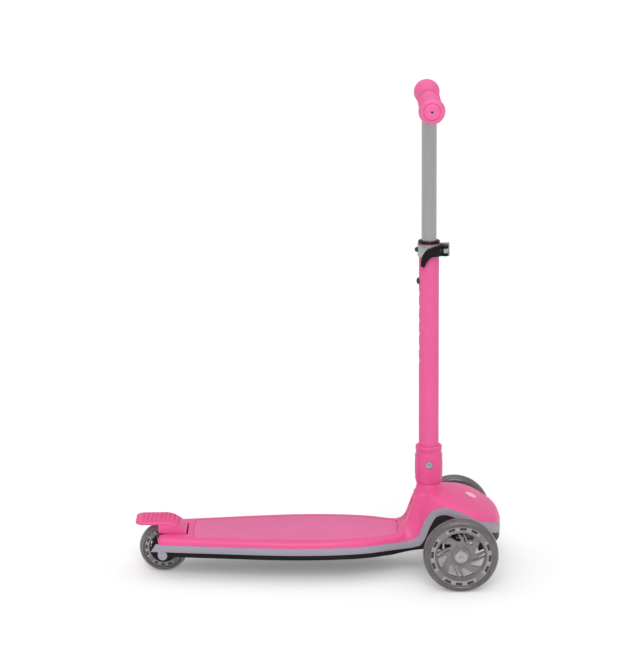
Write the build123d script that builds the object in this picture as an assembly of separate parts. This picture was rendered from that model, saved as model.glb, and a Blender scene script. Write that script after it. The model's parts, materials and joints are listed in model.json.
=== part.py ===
from build123d import *
import math
import os

# Three-wheel lean-to-steer kick scooter, millimetres.
# +X forward, +Y to the rider's left, +Z up. The origin is on the ground, under the middle of the box.

# Overall layout
wheelbase = 477.0
track = 236.8
nose_overhang = 69.5          # front axle to the tip of the nose
pedal_overhang = 44.5         # rear axle to the back edge of the pedal
steering_room = 30.5          # front axle to the stem's front face
bar_height = 766.7            # middle of the cross bar
bar_span = 217.0              # over both grips

# Wheels
front_wheel_d = 120.0
rear_wheel_d = 80.0
tyre_width = 24.0
front_tyre_depth = 10.5
rear_tyre_depth = 8.5
front_rim_thick = 10.5
rear_rim_thick = 8.0
hub_width = 16.0
hub_r = 15.0
bearing_od = 22.0
bearing_bore = 8.0
bearing_width = 7.0
spoke_groups = 4
led_arc_deg = 72.0
led_start_deg = -32.0
led_inset = 2.2               # rim face to the strip of lights
led_depth = 4.6
web_half = 5.5

# Openings of one group of the wheel's web: share of the way from hub to rim, and angle from the top.
web_windows = [
    [(1.0, 10.0), (1.0, 21.0), (1.0, 32.0), (0.45, 42.0), (0.34, 43.0), (0.30, 39.0), (0.36, 34.0)],
    [(1.0, -36.0), (1.0, -24.0), (1.0, -12.0), (0.40, -4.0), (0.31, -8.0), (0.34, -14.0)],
    [(1.0, -6.0), (1.0, 3.0), (0.45, 18.5), (0.16, 27.0), (0.12, 24.0), (0.16, 21.0), (0.45, 13.0)],
]

# Deck
deck_top_z = 69.0
deck_half_widest = 78.5
deck_half_rear = 50.0
waist_half = 44.0
cowl_half = 81.0
shell_line_z = 58.5           # pink shell above, side band below
tray_line_z = 46.5            # side band above, black tray below
tray_bottom_z = 38.5
arm_overhang = 7.0            # rear arms past the rear axle
wall = 3.0
band_width = 6.0
rim_round = 7.0
pad_margin = 15.0
pad_depth = 1.4
pad_groove = 0.9

# Cowl and neck
cowl_top_z = 133.5
neck_wall = 1.95
neck_top_z = 144.0
collar_bottom_wall = 1.05
collar_belly_wall = 4.05
collar_bead_wall = 2.85
collar_top_z = 208.0

# Stem
column_od = 32.0
column_wall = 2.0
column_bottom_z = 60.0
column_top_z = 541.0
socket_wall = 2.4
socket_top_z = 192.0
tbar_od = 24.0
tbar_wall = 1.5
tbar_insert = 145.0           # below the column's top
cross_od = 22.0
grip_flange_r = 20.8
grip_body_r = 16.5
grip_inner_gap = 17.0
hole_pitch = 22.0
height_steps = 7
button_r = 5.6
button_z = 479.0
button_stand = 4.0
leaf_half = 3.2                # button spring
clamp_height = 20.0
clamp_wall = 2.4
ear_reach = 14.0
ear_gap = 4.0
ear_thick = 2.4
lever_turn_r = 5.6

# Front truck
lean_axis_z = 46.0
tie_rod_z = 74.0
knuckle_arm = 20.0
hub_cap_r = 9.8
hub_cap_thick = 3.4
kingpin_inset = 26.4          # wheel plane to kingpin
kingpin_r = 4.0
knuckle_r = 9.0
knuckle_height = 26.0
beam_depth = 18.0
beam_height = 18.0
pivot_bolt_r = 4.0
lug_half = 14.0               # tray lugs that hold the pivot bolt
lean_bush_r = 9.0
tunnel_top_z = 95.0
tie_rod_slack = 1.2           # the opened linkage joint: pin to slot

# Rear end
cheek_gap = 15.0              # wheel plane to the fork cheek
cheek_thick = 5.0
cheek_r = 21.0
axle_boss_r = 7.6
axle_boss_outer_r = 8.2
pedal_half = 29.0
pedal_hinge_ahead = 35.0      # of the rear axle
pedal_hinge_z = 63.5
pedal_top_z = 88.5
pedal_pin_r = 2.5
pad_gap = 3.0                 # brake pad to tyre

# Small parts
lock_z = 179.0
lock_screw_r = 3.0
lock_head_r = 6.0
lock_seat_wall = 1.35         # head and nut seats over the socket
lock_nut_flats = 10.0
socket_bottom_z = 56.0
plate_margin = 9.55           # base plate past the socket
plate_ahead = 13.0
rivet_r = 2.4
clamp_bolt_r = 2.5
cam_pin_r = 2.0
cam_half = 8.5
eye_half = 3.4
lever_thick = 4.4
drive_pin_r = 3.0
steer_pin_r = 2.5
arm_z = 62.0
tie_boss_r = 6.0
tunnel_rear = 26.5
tunnel_front = 30.0
lug_r = 4.2
skirt_thick = 3.0
badge_tilt = 14.0
badge_drop = 15.5              # below the cowl's top
horn_top = 4.0                # rear horns of the side band, past the deck's end
horn_foot = 11.5
horn_half = 3.0

# Fits
running = 0.05                # radial, shafts and pins
free = 0.4                    # between bodies that must not touch
side_play = 0.3

# Places worked out from the sizes above
half_length = (nose_overhang + wheelbase + pedal_overhang) / 2
nose_x = half_length
pedal_rear_x = -half_length
front_axle_x = nose_x - nose_overhang
rear_axle_x = pedal_rear_x + pedal_overhang
stem_x = front_axle_x - steering_room - column_od / 2
rear_x = rear_axle_x - arm_overhang
waist_x = stem_x - 29.5
front_r = front_wheel_d / 2
rear_r = rear_wheel_d / 2
wheel_y = track / 2
kingpin_y = wheel_y - kingpin_inset
column_r = column_od / 2
column_inner_r = column_r - column_wall
tbar_r = tbar_od / 2
tbar_inner_r = tbar_r - tbar_wall
cross_r = cross_od / 2
socket_r = column_r + running + socket_wall
neck_r = socket_r + neck_wall
collar_bottom_r = socket_r + collar_bottom_wall
collar_belly_r = socket_r + collar_belly_wall
collar_bead_r = socket_r + collar_bead_wall
lock_seat = socket_r + lock_seat_wall
plate_half = socket_r + plate_margin
plate_rear = plate_half - 1.0
hinge_x = rear_axle_x + pedal_hinge_ahead
slot_x = hinge_x + 5.0
axle_r = bearing_bore / 2 - running
clamp_bottom_z = column_top_z - clamp_height - 1.0
clamp_mid_z = clamp_bottom_z + clamp_height / 2
clamp_r = column_r + running + clamp_wall
cam_x = stem_x + clamp_r + ear_reach - 7.5
cam_y = -(ear_gap / 2 + ear_thick + lever_turn_r + side_play)
badge_x = front_axle_x + 22.0
badge_z = cowl_top_z - badge_drop
screw_pitch = (waist_x - slot_x - 60.0) / 3
screw_rows = [slot_x + 22.0 + step * screw_pitch for step in range(4)]
screw_places = [(x, side * 34.0) for x in screw_rows for side in (-1, 1)]
screw_offsets = [(-plate_rear + 5.0, plate_half - 9.0), (5.0, plate_half - 5.0)]
socket_screw_places = [(stem_x + dx, side * y) for dx, y in screw_offsets for side in (-1, 1)]


def block(x0, x1, y0, y1, z0, z1):
    return Pos((x0 + x1) / 2, (y0 + y1) / 2, (z0 + z1) / 2) * Box(x1 - x0, y1 - y0, z1 - z0)


def rod_x(x0, x1, y, z, radius):
    return Pos((x0 + x1) / 2, y, z) * Rot(0, 90, 0) * Cylinder(radius, x1 - x0)


def rod_y(x, y0, y1, z, radius):
    return Pos(x, (y0 + y1) / 2, z) * Rot(90, 0, 0) * Cylinder(radius, y1 - y0)


def rod_z(x, y, z0, z1, radius):
    return Pos(x, y, (z0 + z1) / 2) * Cylinder(radius, z1 - z0)


def pipe_z(x, y, z0, z1, outer, inner):
    return rod_z(x, y, z0, z1, outer) - rod_z(x, y, z0 - 1, z1 + 1, inner)


def pipe_y(x, y0, y1, z, outer, inner):
    return rod_y(x, y0, y1, z, outer) - rod_y(x, y0 - 1, y1 + 1, z, inner)


def hex_y(x, y0, y1, z, flats):
    return Pos(x, y0, z) * Rot(-90, 0, 0) * extrude(RegularPolygon(flats / math.sqrt(3), 6), y1 - y0)


def hex_x(x0, x1, y, z, flats):
    return Pos(x0, y, z) * Rot(0, 90, 0) * extrude(RegularPolygon(flats / math.sqrt(3), 6), x1 - x0)


def turned_y(profile, x, y, z, side):
    """Revolves (radius, distance along +Y) pairs, then stands them at the place given."""
    outline = make_face(Polyline(*profile, close=True))
    ring = revolve(outline, Axis.Y, 360)
    if side < 0:
        ring = mirror(ring, Plane.XZ)
    return Pos(x, y, z) * ring


def turned_z(profile, x, y):
    outline = make_face(Plane.XZ * Polyline(*profile, close=True))
    return Pos(x, y, 0) * revolve(outline, Axis.Z, 360)


def along_deck(share):
    return rear_x + share * (waist_x - rear_x)


# Half widths of the side band, from the rear arms past the waist to the widest part of the cowl.
band_plan = [
    (along_deck(0.0), deck_half_rear + 2.5),
    (along_deck(0.11), deck_half_rear + 9.0),
    (along_deck(0.26), deck_half_widest - 12.0),
    (along_deck(0.41), deck_half_widest - 4.5),
    (along_deck(0.56), deck_half_widest),
    (along_deck(0.71), deck_half_widest - 2.0),
    (along_deck(0.83), deck_half_widest - 10.5),
    (along_deck(0.93), waist_half + 8.0),
    (waist_x + 5.0, waist_half),
    (stem_x + 4.5, waist_half + 9.0),
    (front_axle_x - 14.0, cowl_half - 12.0),
    (front_axle_x + 4.0, cowl_half - 4.5),
    (front_axle_x + 24.0, cowl_half),
    (front_axle_x + 42.0, cowl_half - 8.0),
    (front_axle_x + 58.0, cowl_half - 26.0),
    (front_axle_x + 66.5, cowl_half - 52.0),
]

# Height of the line between shell and band where it lifts over the front wheel.
shell_arch = [
    (waist_x - 4.0, shell_line_z),
    (stem_x - 18.0, shell_line_z + 9.0),
    (stem_x - 9.5, shell_line_z + 34.0),
    (stem_x + 6.5, shell_line_z + 56.0),
    (front_axle_x - 20.0, shell_line_z + 62.2),
    (front_axle_x, shell_line_z + 58.2),
    (front_axle_x + 24.0, shell_line_z + 48.5),
    (front_axle_x + 56.0, shell_line_z + 35.0),
    (front_axle_x + 66.0, shell_line_z + 27.0),
    (front_axle_x + 72.0, shell_line_z + 17.0),
]

# Height of the line between band and tray: the wheel arch itself.
tray_arch = [
    (waist_x - 4.0, tray_line_z),
    (stem_x - 16.0, tray_line_z + 4.5),
    (stem_x - 8.5, tray_line_z + 15.0),
    (stem_x + 0.5, tray_line_z + 38.5),
    (stem_x + 12.0, tray_line_z + 57.5),
    (front_axle_x - 20.0, tray_line_z + 62.0),
    (front_axle_x + 4.0, tray_line_z + 55.5),
    (front_axle_x + 30.0, tray_line_z + 43.5),
    (front_axle_x + 58.0, tray_line_z + 28.5),
    (front_axle_x + 72.0, tray_line_z + 19.5),
]

# Underside of the tray.
tray_floor = [
    (waist_x - 30.0, tray_bottom_z),
    (stem_x - 32.0, tray_bottom_z + 3.5),
    (stem_x + 14.5, tray_bottom_z + 10.0),
    (front_axle_x + 32.0, tray_bottom_z + 14.5),
    (front_axle_x + 59.0, tray_bottom_z + 21.0),
    (front_axle_x + 75.0, tray_bottom_z + 22.0),
]
tray_floor_top = [(x, z + wall) for x, z in tray_floor]

# Ridge of the cowl: place, half width and height of its top edge.
cowl_ridge = [
    (waist_x - 24.0, waist_half + 5.0, deck_top_z - 4.0),
    (waist_x - 15.0, waist_half, deck_top_z + 4.0),
    (waist_x - 7.0, waist_half - 13.0, deck_top_z + 18.0),
    (waist_x + 1.0, waist_half - 20.0, deck_top_z + 42.0),
    (stem_x - 20.0, waist_half - 21.0, cowl_top_z - 4.0),
    (stem_x - 9.5, waist_half - 20.0, cowl_top_z),
    (stem_x + 4.0, waist_half - 9.0, cowl_top_z - 0.5),
    (stem_x + 18.0, waist_half + 2.0, cowl_top_z - 3.0),
    (front_axle_x - 12.0, cowl_half - 25.0, cowl_top_z - 6.5),
    (front_axle_x + 4.0, cowl_half - 13.0, cowl_top_z - 11.0),
    (front_axle_x + 24.0, cowl_half - 6.0, cowl_top_z - 19.0),
    (front_axle_x + 40.0, cowl_half - 13.0, cowl_top_z - 26.5),
    (front_axle_x + 55.0, cowl_half - 30.0, cowl_top_z - 33.0),
    (front_axle_x + 64.0, cowl_half - 50.0, cowl_top_z - 39.0),
    (front_axle_x + 69.0, cowl_half - 66.0, cowl_top_z - 46.0),
]


def plan_face(inset):
    """The deck and cowl outline from above, drawn in by inset."""
    side = [(x, y - inset) for x, y in band_plan]
    side[0] = (rear_x + inset, side[0][1])
    half = Spline(*side, (nose_x - inset, 0.0), tangents=[(1.0, 0.25), (0.0, -1.0)])
    other = mirror(half, Plane.XZ)
    back = Line((rear_x + inset, -side[0][1]), (rear_x + inset, side[0][1]))
    return make_face([half, other, back])


def plan_block(inset, z0, z1):
    return Pos(0, 0, z0) * extrude(plan_face(inset), z1 - z0)


def below(points, floor_z=0.0):
    """Everything under a line that runs level along the deck and then follows the points."""
    back_x = pedal_rear_x - 10.0
    level_z = points[0][1]
    level = Line((back_x, level_z), points[0])
    arch = Spline(*points)
    front = Polyline(points[-1], (points[-1][0], floor_z), (back_x, floor_z), (back_x, level_z))
    face = make_face([level, arch, front])
    half_span = cowl_half + 20
    return Pos(0, half_span, 0) * extrude(Plane.XZ * face, 2 * half_span)


def ridge_section(station, inset):
    x, half, top = station
    edge_y = band_half_at(x) - inset
    line_z = arch_height_at(x)
    drop = 8.0
    lean = (edge_y - (half - inset)) / max(top - line_z, 6.0)
    low_z = line_z - drop
    low_y = edge_y + lean * drop
    high_y = half - inset
    high_z = top - inset
    points = [(-low_y, low_z), (-high_y, high_z), (0, high_z + 2.5), (high_y, high_z), (low_y, low_z)]
    plane = Plane(origin=(x, 0, 0), x_dir=(0, 1, 0), z_dir=(1, 0, 0))
    return plane * make_face(Polyline(*points, close=True))


def on_line(points, x):
    for (xa, va), (xb, vb) in zip(points, points[1:]):
        if xa <= x <= xb:
            return va + (vb - va) * (x - xa) / (xb - xa)
    return points[0][1] if x < points[0][0] else points[-1][1]


def band_half_at(x):
    return on_line(band_plan, x)


def arch_height_at(x):
    return on_line(shell_arch, x)


def cowl_block(inset):
    sections = [ridge_section(station, inset) for station in cowl_ridge]
    if inset > 0:
        sections = sections[2:-1]
    return loft(sections, ruled=True)


def wheel_bay():
    """Room for the rear wheel and the pedal between the two rear arms."""
    return block(pedal_rear_x - 20, slot_x, -pedal_half - 1.5, pedal_half + 1.5, 0, deck_top_z + 40)


def pad_face(inset):
    x0 = slot_x + 9.0 + inset
    x1 = waist_x - 20.0 - inset
    stations = [x0 + share * (x1 - x0) for share in (0.0, 0.28, 0.55, 0.8, 1.0)]
    side = [(x, band_half_at(x) - pad_margin - inset) for x in stations]
    half = Spline(*side)
    back = Line((x0, -side[0][1]), side[0])
    front = Line((x1, -side[-1][1]), side[-1])
    return make_face([half, mirror(half, Plane.XZ), back, front])


def largest(shape):
    return sorted(shape.solids(), key=lambda s: s.volume)[-1]


def deck_shell():
    plate = plan_block(0, shell_line_z - 10, deck_top_z)
    top_edges = plate.faces().sort_by(Axis.Z)[-1].edges()
    plate = fillet(top_edges, min(rim_round, deck_top_z - shell_line_z - 1.0))
    solid = plate + cowl_block(0) + rod_z(stem_x, 0, cowl_top_z - 20, neck_top_z, neck_r)
    hollow = plan_block(wall, 0, deck_top_z - wall) + cowl_block(wall)
    shell = solid - below(shell_arch) - hollow
    shell = shell - rod_z(stem_x, 0, 0, neck_top_z + 5, socket_r + running)
    shell = shell - wheel_bay()
    shell = shell - (Pos(0, 0, deck_top_z - pad_depth) * extrude(pad_face(0), 20))
    return largest(shell)


def deck_pad():
    return Pos(0, 0, deck_top_z - pad_depth) * extrude(pad_face(pad_groove), pad_depth)


def side_band():
    ring = plan_block(0, 0, 160) - plan_block(band_width, -1, 161)
    ring = (ring & below(shell_arch)) - below(tray_arch)
    ring = ring - wheel_bay()
    for side in (-1, 1):
        ring = ring + rear_horn(side) + axle_boss(side, 0)
    return ring


def rear_horn(side):
    """Raked end of one rear arm."""
    outline = Polyline(
        (rear_x + 12.0, shell_line_z),
        (rear_x - horn_top, shell_line_z),
        (rear_x - horn_foot, tray_line_z),
        (rear_x + 12.0, tray_line_z),
        close=True)
    outer = side * (deck_half_rear - 0.5) + horn_half
    return Pos(0, outer, 0) * extrude(Plane.XZ * make_face(outline), 2 * horn_half)


def axle_boss(side, play):
    """Round tab that covers the end of the rear axle."""
    ya, yb = sorted((side * (deck_half_rear - 3.0 - play), side * (deck_half_rear + 3.5 + play)))
    boss = rod_y(rear_axle_x, ya, yb, rear_r, axle_boss_r + play)
    return boss & block(rear_x - 5, rear_x + 40, -90, 90, 0, tray_line_z + 4)


def cheek(side):
    """One fork cheek with a rounded foot at the axle."""
    y0 = cheek_gap * side
    y1 = (cheek_gap + cheek_thick) * side
    low, high = min(y0, y1), max(y0, y1)
    foot = rod_y(rear_axle_x, low, high, rear_r, cheek_r)
    web = block(rear_axle_x - 14, slot_x + 8, low, high, rear_r, deck_top_z - wall - 4)
    reach = block(rear_axle_x, slot_x + 8, low, high, tray_bottom_z, rear_r + 1)
    return foot + web + reach


def chassis_tray():
    inset = 1.5
    outer = plan_block(inset, tray_bottom_z, 130) & below(tray_arch)
    outer = outer - below(tray_floor)
    inner = plan_block(inset + wall, tray_bottom_z, 131) - below(tray_floor_top)
    tray = outer - inner
    tray = tray - wheel_bay()
    x0 = front_axle_x - tunnel_rear
    x1 = front_axle_x + tunnel_front
    tray = tray - block(x0, x1, -120, 120, 0, tunnel_top_z)
    half = waist_half + 6.0
    roof = block(x0 - wall, x1 + wall, -half, half, tunnel_top_z, tunnel_top_z + wall)
    rear_wall = block(x0 - wall, x0, -half, half, lean_axis_z + 4, tunnel_top_z)
    front_wall = block(x1, x1 + wall, -half, half, lean_axis_z + 4, tunnel_top_z)
    tray = tray + roof + rear_wall + front_wall
    for x in (x0 - wall, x1):
        tray = tray + block(x, x + wall, -lug_half, lug_half, lean_axis_z, lean_axis_z + lug_half)
        tray = tray + rod_x(x, x + wall, 0, lean_axis_z, lug_half)
    tray = tray - rod_x(x0 - 20, x1 + 20, 0, lean_axis_z, pivot_bolt_r + running)
    tray = tray + rod_z(front_axle_x - knuckle_arm, 0, tie_rod_z - 4, tunnel_top_z, drive_pin_r)
    seat_half = plate_half + 1.0
    seat = block(stem_x - plate_rear - 1.0, x0 - wall, -seat_half, seat_half, tray_bottom_z, socket_bottom_z)
    tray = tray + (seat - below(tray_floor))
    tray = tray - block(x0 - wall - 8, x0 - wall, -9, 9, 0, socket_bottom_z)
    tray = tray - rod_x(x1 + wall, x1 + wall + 14, 0, lean_axis_z, 10)
    for x, y in socket_screw_places:
        tray = tray - rod_z(x, y, socket_bottom_z - 6, socket_bottom_z + 1, 2.5)
    tray = tray - rod_z(stem_x, 0, socket_bottom_z, 200, socket_r + running)
    for side in (-1, 1):
        tray = tray + cheek(side)
    bay_half = pedal_half + 6
    bay_front = block(slot_x, slot_x + wall, -bay_half, bay_half, tray_bottom_z, deck_top_z - wall - 0.5)
    tray = tray + bay_front
    tray = tray - rod_y(rear_axle_x, -60, 60, rear_r, axle_r)
    tray = tray - rod_y(hinge_x, -60, 60, pedal_hinge_z, pedal_pin_r)
    tray = tray - axle_boss(1, side_play) - axle_boss(-1, side_play)
    for x, y in screw_places:
        tray = tray + rod_z(x, y, tray_bottom_z, deck_top_z - wall, 5.0)
        tray = tray - rod_z(x, y, tray_bottom_z - 1, tray_bottom_z + 12, 2.0)
        tray = tray - rod_z(x, y, tray_bottom_z - 1, tray_bottom_z + 2.0, 4.2)
    return tray


def tray_screws():
    group = []
    for x, y in screw_places:
        z = tray_bottom_z + 2.0
        head = rod_z(x, y, tray_bottom_z + 0.2, z, 3.8) - rod_z(x, y, tray_bottom_z, tray_bottom_z + 1.2, 1.4)
        group.append(head + rod_z(x, y, z, z + 9.5, 2.0))
    return Compound(children=group)


def socket_tube():
    """Steel socket on a base plate, screwed down inside the cowl."""
    tube = pipe_z(stem_x, 0, socket_bottom_z, socket_top_z, socket_r, column_r + running)
    x0 = stem_x - plate_rear
    x1 = stem_x + plate_ahead
    plate = block(x0, x1, -plate_half, plate_half, socket_bottom_z, socket_bottom_z + 3)
    plate = plate - rod_z(stem_x, 0, 0, 100, column_r + running)
    for x, y in socket_screw_places:
        plate = plate - rod_z(x, y, 0, 100, 2.5)
    return tube + plate - rod_y(stem_x, -40, 40, lock_z, lock_screw_r)


def socket_screws():
    group = []
    for x, y in socket_screw_places:
        top = socket_bottom_z + 3
        group.append(rod_z(x, y, top, top + 2.5, 4.0) + rod_z(x, y, top - 9, top, 2.5))
    return Compound(children=group)


def lock_collar():
    inner = socket_r + running
    neck = column_r + running
    profile = [
        (inner, neck_top_z),
        (collar_bottom_r, neck_top_z),
        (collar_bottom_r + 1.6, neck_top_z + 6),
        (collar_belly_r, neck_top_z + 20),
        (collar_belly_r, neck_top_z + 40),
        (collar_bead_r - 1.2, neck_top_z + 54),
        (collar_bead_r - 0.9, collar_top_z - 8),
        (collar_bead_r, collar_top_z - 6.5),
        (collar_bead_r, collar_top_z - 1.5),
        (collar_bead_r - 1.5, collar_top_z),
        (neck, collar_top_z),
        (neck, socket_top_z + side_play),
        (inner, socket_top_z + side_play),
    ]
    collar = turned_z(profile, stem_x, 0)
    collar = collar - rod_y(stem_x, -40, 40, lock_z, lock_screw_r)
    collar = collar - rod_y(stem_x, -40, -lock_seat, lock_z, lock_head_r + free)
    return collar - hex_y(stem_x, lock_seat, 40, lock_z, lock_nut_flats)


def lock_screw():
    head = rod_y(stem_x, -lock_seat - 2.6, -lock_seat, lock_z, lock_head_r)
    head = head - hex_y(stem_x, -lock_seat - 3, -lock_seat - 0.8, lock_z, 5.0)
    return head + rod_y(stem_x, -lock_seat, lock_seat + 2.0, lock_z, lock_screw_r)


def lock_nut():
    nut = hex_y(stem_x, lock_seat, lock_seat + 2.6, lock_z, lock_nut_flats)
    return nut - rod_y(stem_x, 0, 40, lock_z, lock_screw_r)


def column_tube():
    tube = pipe_z(stem_x, 0, column_bottom_z, column_top_z, column_r, column_inner_r)
    for step in range(height_steps):
        z = button_z - step * hole_pitch
        tube = tube - rod_x(stem_x - column_od, stem_x - column_inner_r + 3, 0, z, button_r + free)
    tube = tube - rod_y(stem_x, -40, 40, lock_z, lock_screw_r)
    return tube - rod_x(stem_x - column_od, stem_x - column_inner_r + 3, 0, clamp_mid_z, rivet_r)


def column_bush():
    """Plastic bush that guides the T-bar in the column's mouth."""
    sleeve = rod_z(stem_x, 0, column_top_z - 34, column_top_z, column_inner_r)
    flange = rod_z(stem_x, 0, column_top_z, column_top_z + 3.6, column_r + 1.3)
    bore = rod_z(stem_x, 0, column_top_z - 50, column_top_z + 10, tbar_r + running)
    return sleeve + flange - bore


def clamp_ears():
    x1 = stem_x + clamp_r + ear_reach
    y1 = ear_gap / 2 + ear_thick
    plates = block(stem_x + column_r, x1, -y1, y1, clamp_bottom_z, clamp_bottom_z + clamp_height)
    return plates - block(stem_x, x1 + 1, -ear_gap / 2, ear_gap / 2, 0, 1000)


def clamp_collar():
    ring = rod_z(stem_x, 0, clamp_bottom_z, clamp_bottom_z + clamp_height, clamp_r)
    ring = ring + clamp_ears()
    ring = ring - rod_z(stem_x, 0, 0, 1000, column_r + running)
    ring = ring - block(stem_x, stem_x + 60, -ear_gap / 2, ear_gap / 2, 0, 1000)
    ring = ring - rod_y(cam_x, -30, 30, clamp_mid_z, clamp_bolt_r)
    return ring - rod_x(stem_x - 40, stem_x - 10, 0, clamp_mid_z, rivet_r)


def clamp_rivet():
    x0 = stem_x - clamp_r
    head = rod_x(x0 - 2.6, x0, 0, clamp_mid_z, 4.6)
    return head + rod_x(x0, stem_x - column_inner_r - 0.2, 0, clamp_mid_z, rivet_r)


def clamp_bolt():
    """Bolt through the ears, with an eye around the cam pin."""
    shank = rod_y(cam_x, cam_y, ear_gap / 2 + ear_thick + 7.5, clamp_mid_z, clamp_bolt_r)
    eye = rod_z(cam_x, cam_y, clamp_mid_z - eye_half, clamp_mid_z + eye_half, 4.4)
    return shank + eye - rod_z(cam_x, cam_y, 0, 1000, cam_pin_r)


def clamp_nut():
    y0 = ear_gap / 2 + ear_thick
    nut = hex_y(cam_x, y0, y0 + 5.5, clamp_mid_z, 9.0)
    return nut - rod_y(cam_x, 0, 40, clamp_mid_z, clamp_bolt_r)


def cam_pin():
    half = cam_half
    return rod_z(cam_x, cam_y, clamp_mid_z - half, clamp_mid_z + half, cam_pin_r)


def clamp_lever():
    """Cam fork on the pin and an arm that wraps back around the column."""
    low = clamp_mid_z - cam_half
    high = clamp_mid_z + cam_half
    cam = rod_z(cam_x, cam_y, low, high, lever_turn_r)
    inner = clamp_r + 1.2
    outer = inner + lever_thick
    ring = pipe_z(stem_x, 0, low, high, outer, inner)
    reach = block(stem_x - 60, cam_x, -60, cam_y + 2.0, 0, 1000)
    bridge = block(stem_x + 8, cam_x, cam_y - lever_turn_r, cam_y + 1.0, low, high)
    bridge = bridge - rod_z(stem_x, 0, 0, 1000, inner)
    arm = (ring & reach) + bridge
    tip_x = stem_x - 11.0
    tip = block(tip_x - 7, tip_x + 7, -outer - 1, -8, low - 24, high)
    tip = tip & pipe_z(stem_x, 0, 0, 1000, outer, inner)
    tail = Pos(stem_x, 0, 0) * extrude(Plane.XZ * lever_outline(), 60)
    lever = cam + ((arm + tip) & (tail + block(stem_x + 5, cam_x + 10, -60, 0, 0, 1000)))
    slot = clamp_bolt_slot()
    return lever - slot - rod_z(cam_x, cam_y, 0, 1000, cam_pin_r + running)


def lever_outline():
    """Side shape of the arm behind the cam: level, then curling down to its tip."""
    high = [(12, cam_half), (0, cam_half - 1.5), (-9, -4), (-15, -16)]
    low = [(-8.5, -29), (-4.5, -18), (3, -cam_half - 1), (12, -cam_half)]
    top = Spline(*high)
    bottom = Spline(*low)
    tip = Line(high[-1], low[0])
    root = Line(low[-1], high[0])
    return Pos(0, clamp_mid_z, 0) * make_face([top, tip, bottom, root])


def clamp_bolt_slot():
    """Sweep of the bolt through the cam fork as the lever turns."""
    z0 = clamp_mid_z - eye_half - side_play
    z1 = clamp_mid_z + eye_half + side_play
    return rod_z(cam_x, cam_y, z0, z1, lever_turn_r + 1.5) + block(cam_x - 4.0, cam_x + 12, cam_y, 0, z0, z1)


def tbar_tube():
    z0 = column_top_z - tbar_insert
    tube = pipe_z(stem_x, 0, z0, bar_height, tbar_r, tbar_inner_r)
    tube = tube - rod_y(stem_x, -60, 60, bar_height, cross_r)
    return tube - rod_x(stem_x - 30, stem_x - 6, 0, button_z, button_r + running)


def tbar_guide():
    """Plastic ring that keeps the T-bar's foot central in the column."""
    z0 = column_top_z - tbar_insert
    ring = pipe_z(stem_x, 0, z0 - 4, z0 + 16, column_inner_r - side_play, tbar_r)
    return ring + pipe_z(stem_x, 0, z0 - 4, z0, column_inner_r - side_play, tbar_inner_r)


def cross_bar():
    half = bar_span / 2 - 9.0
    return pipe_y(stem_x, -half, half, bar_height, cross_r, cross_r - 1.5)


def tee_cover():
    """Moulded cover over the welded joint."""
    body = rod_y(stem_x, -grip_inner_gap, grip_inner_gap, bar_height, grip_body_r - 0.8)
    body = body + rod_z(stem_x, 0, bar_height - 27, bar_height, tbar_r + 2.4)
    body = body - rod_y(stem_x, -60, 60, bar_height, cross_r)
    return body - rod_z(stem_x, 0, bar_height - 60, bar_height, tbar_r)


def grip(side):
    """Soft grip with a ribbed body, an inner ring and a big domed safety end."""
    length = bar_span / 2 - grip_inner_gap
    flange = length - 16.0
    profile = [
        (cross_r, 0.0),
        (grip_body_r + 1.6, 0.0),
        (grip_body_r + 1.6, 3.5),
        (grip_body_r - 0.6, 6.0),
        (grip_body_r + 0.3, flange * 0.5),
        (grip_body_r - 0.4, flange - 5.0),
        (grip_flange_r - 1.2, flange),
        (grip_flange_r, flange + 2.5),
        (grip_flange_r, flange + 6.0),
        (grip_flange_r - 2.0, flange + 9.5),
        (13.4, flange + 12.0),
        (12.6, flange + 14.6),
        (10.0, length),
        (1.8, length),
        (1.8, length - 7.0),
        (cross_r, length - 7.0),
    ]
    return turned_y(profile, stem_x, side * grip_inner_gap, bar_height, side)


def snap_button():
    """Spring button of the height stops: domed head with a flanged foot."""
    x0 = stem_x - column_r - button_stand
    head = rod_x(x0 + 2.2, stem_x - tbar_inner_r + 0.6, 0, button_z, button_r)
    dome = rod_x(x0, x0 + 2.2, 0, button_z, button_r - 1.8)
    leaf_x = stem_x - tbar_inner_r + 0.9
    leaf = block(leaf_x, leaf_x + 1.5, -leaf_half, leaf_half, button_z - 18, button_z + 8)
    return head + dome + leaf + rod_x(leaf_x - 0.4, leaf_x + 0.1, 0, button_z, leaf_half)


def button_spring():
    """Fixed leg and bow of the button's spring clip."""
    x1 = stem_x + tbar_inner_r - 1.6
    leg = block(x1 - 1.0, x1, -leaf_half, leaf_half, button_z - 30, button_z + 8)
    bow = block(x1 - 8.0, x1, -leaf_half, leaf_half, button_z - 31, button_z - 30)
    return leg + bow


def axle_beam():
    x0 = front_axle_x - beam_depth / 2
    x1 = front_axle_x + beam_depth / 2
    low = front_r - knuckle_height / 2 - side_play
    high = front_r + knuckle_height / 2 + side_play
    post_y = kingpin_y - knuckle_r - free
    bar = block(x0, x1, -post_y, post_y, lean_axis_z - beam_height / 2, lean_axis_z + beam_height / 2)
    beam = bar + rod_x(x0 - 1, x1 + 1, 0, lean_axis_z, lean_bush_r + 4)
    for side in (-1, 1):
        ya, yb = sorted((side * (post_y - 6), side * post_y))
        beam = beam + block(x0, x1, ya, yb, low - 6, high + 6)
        for z in (low - 6, high):
            ya, yb = sorted((side * (post_y - 6), side * kingpin_y))
            beam = beam + block(x0, x1, ya, yb, z, z + 6)
            beam = beam + rod_z(front_axle_x, side * kingpin_y, z, z + 6, beam_depth / 2)
        beam = beam - rod_z(front_axle_x, side * kingpin_y, 0, 200, kingpin_r)
    return beam - rod_x(x0 - 5, x1 + 5, 0, lean_axis_z, lean_bush_r)


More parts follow.
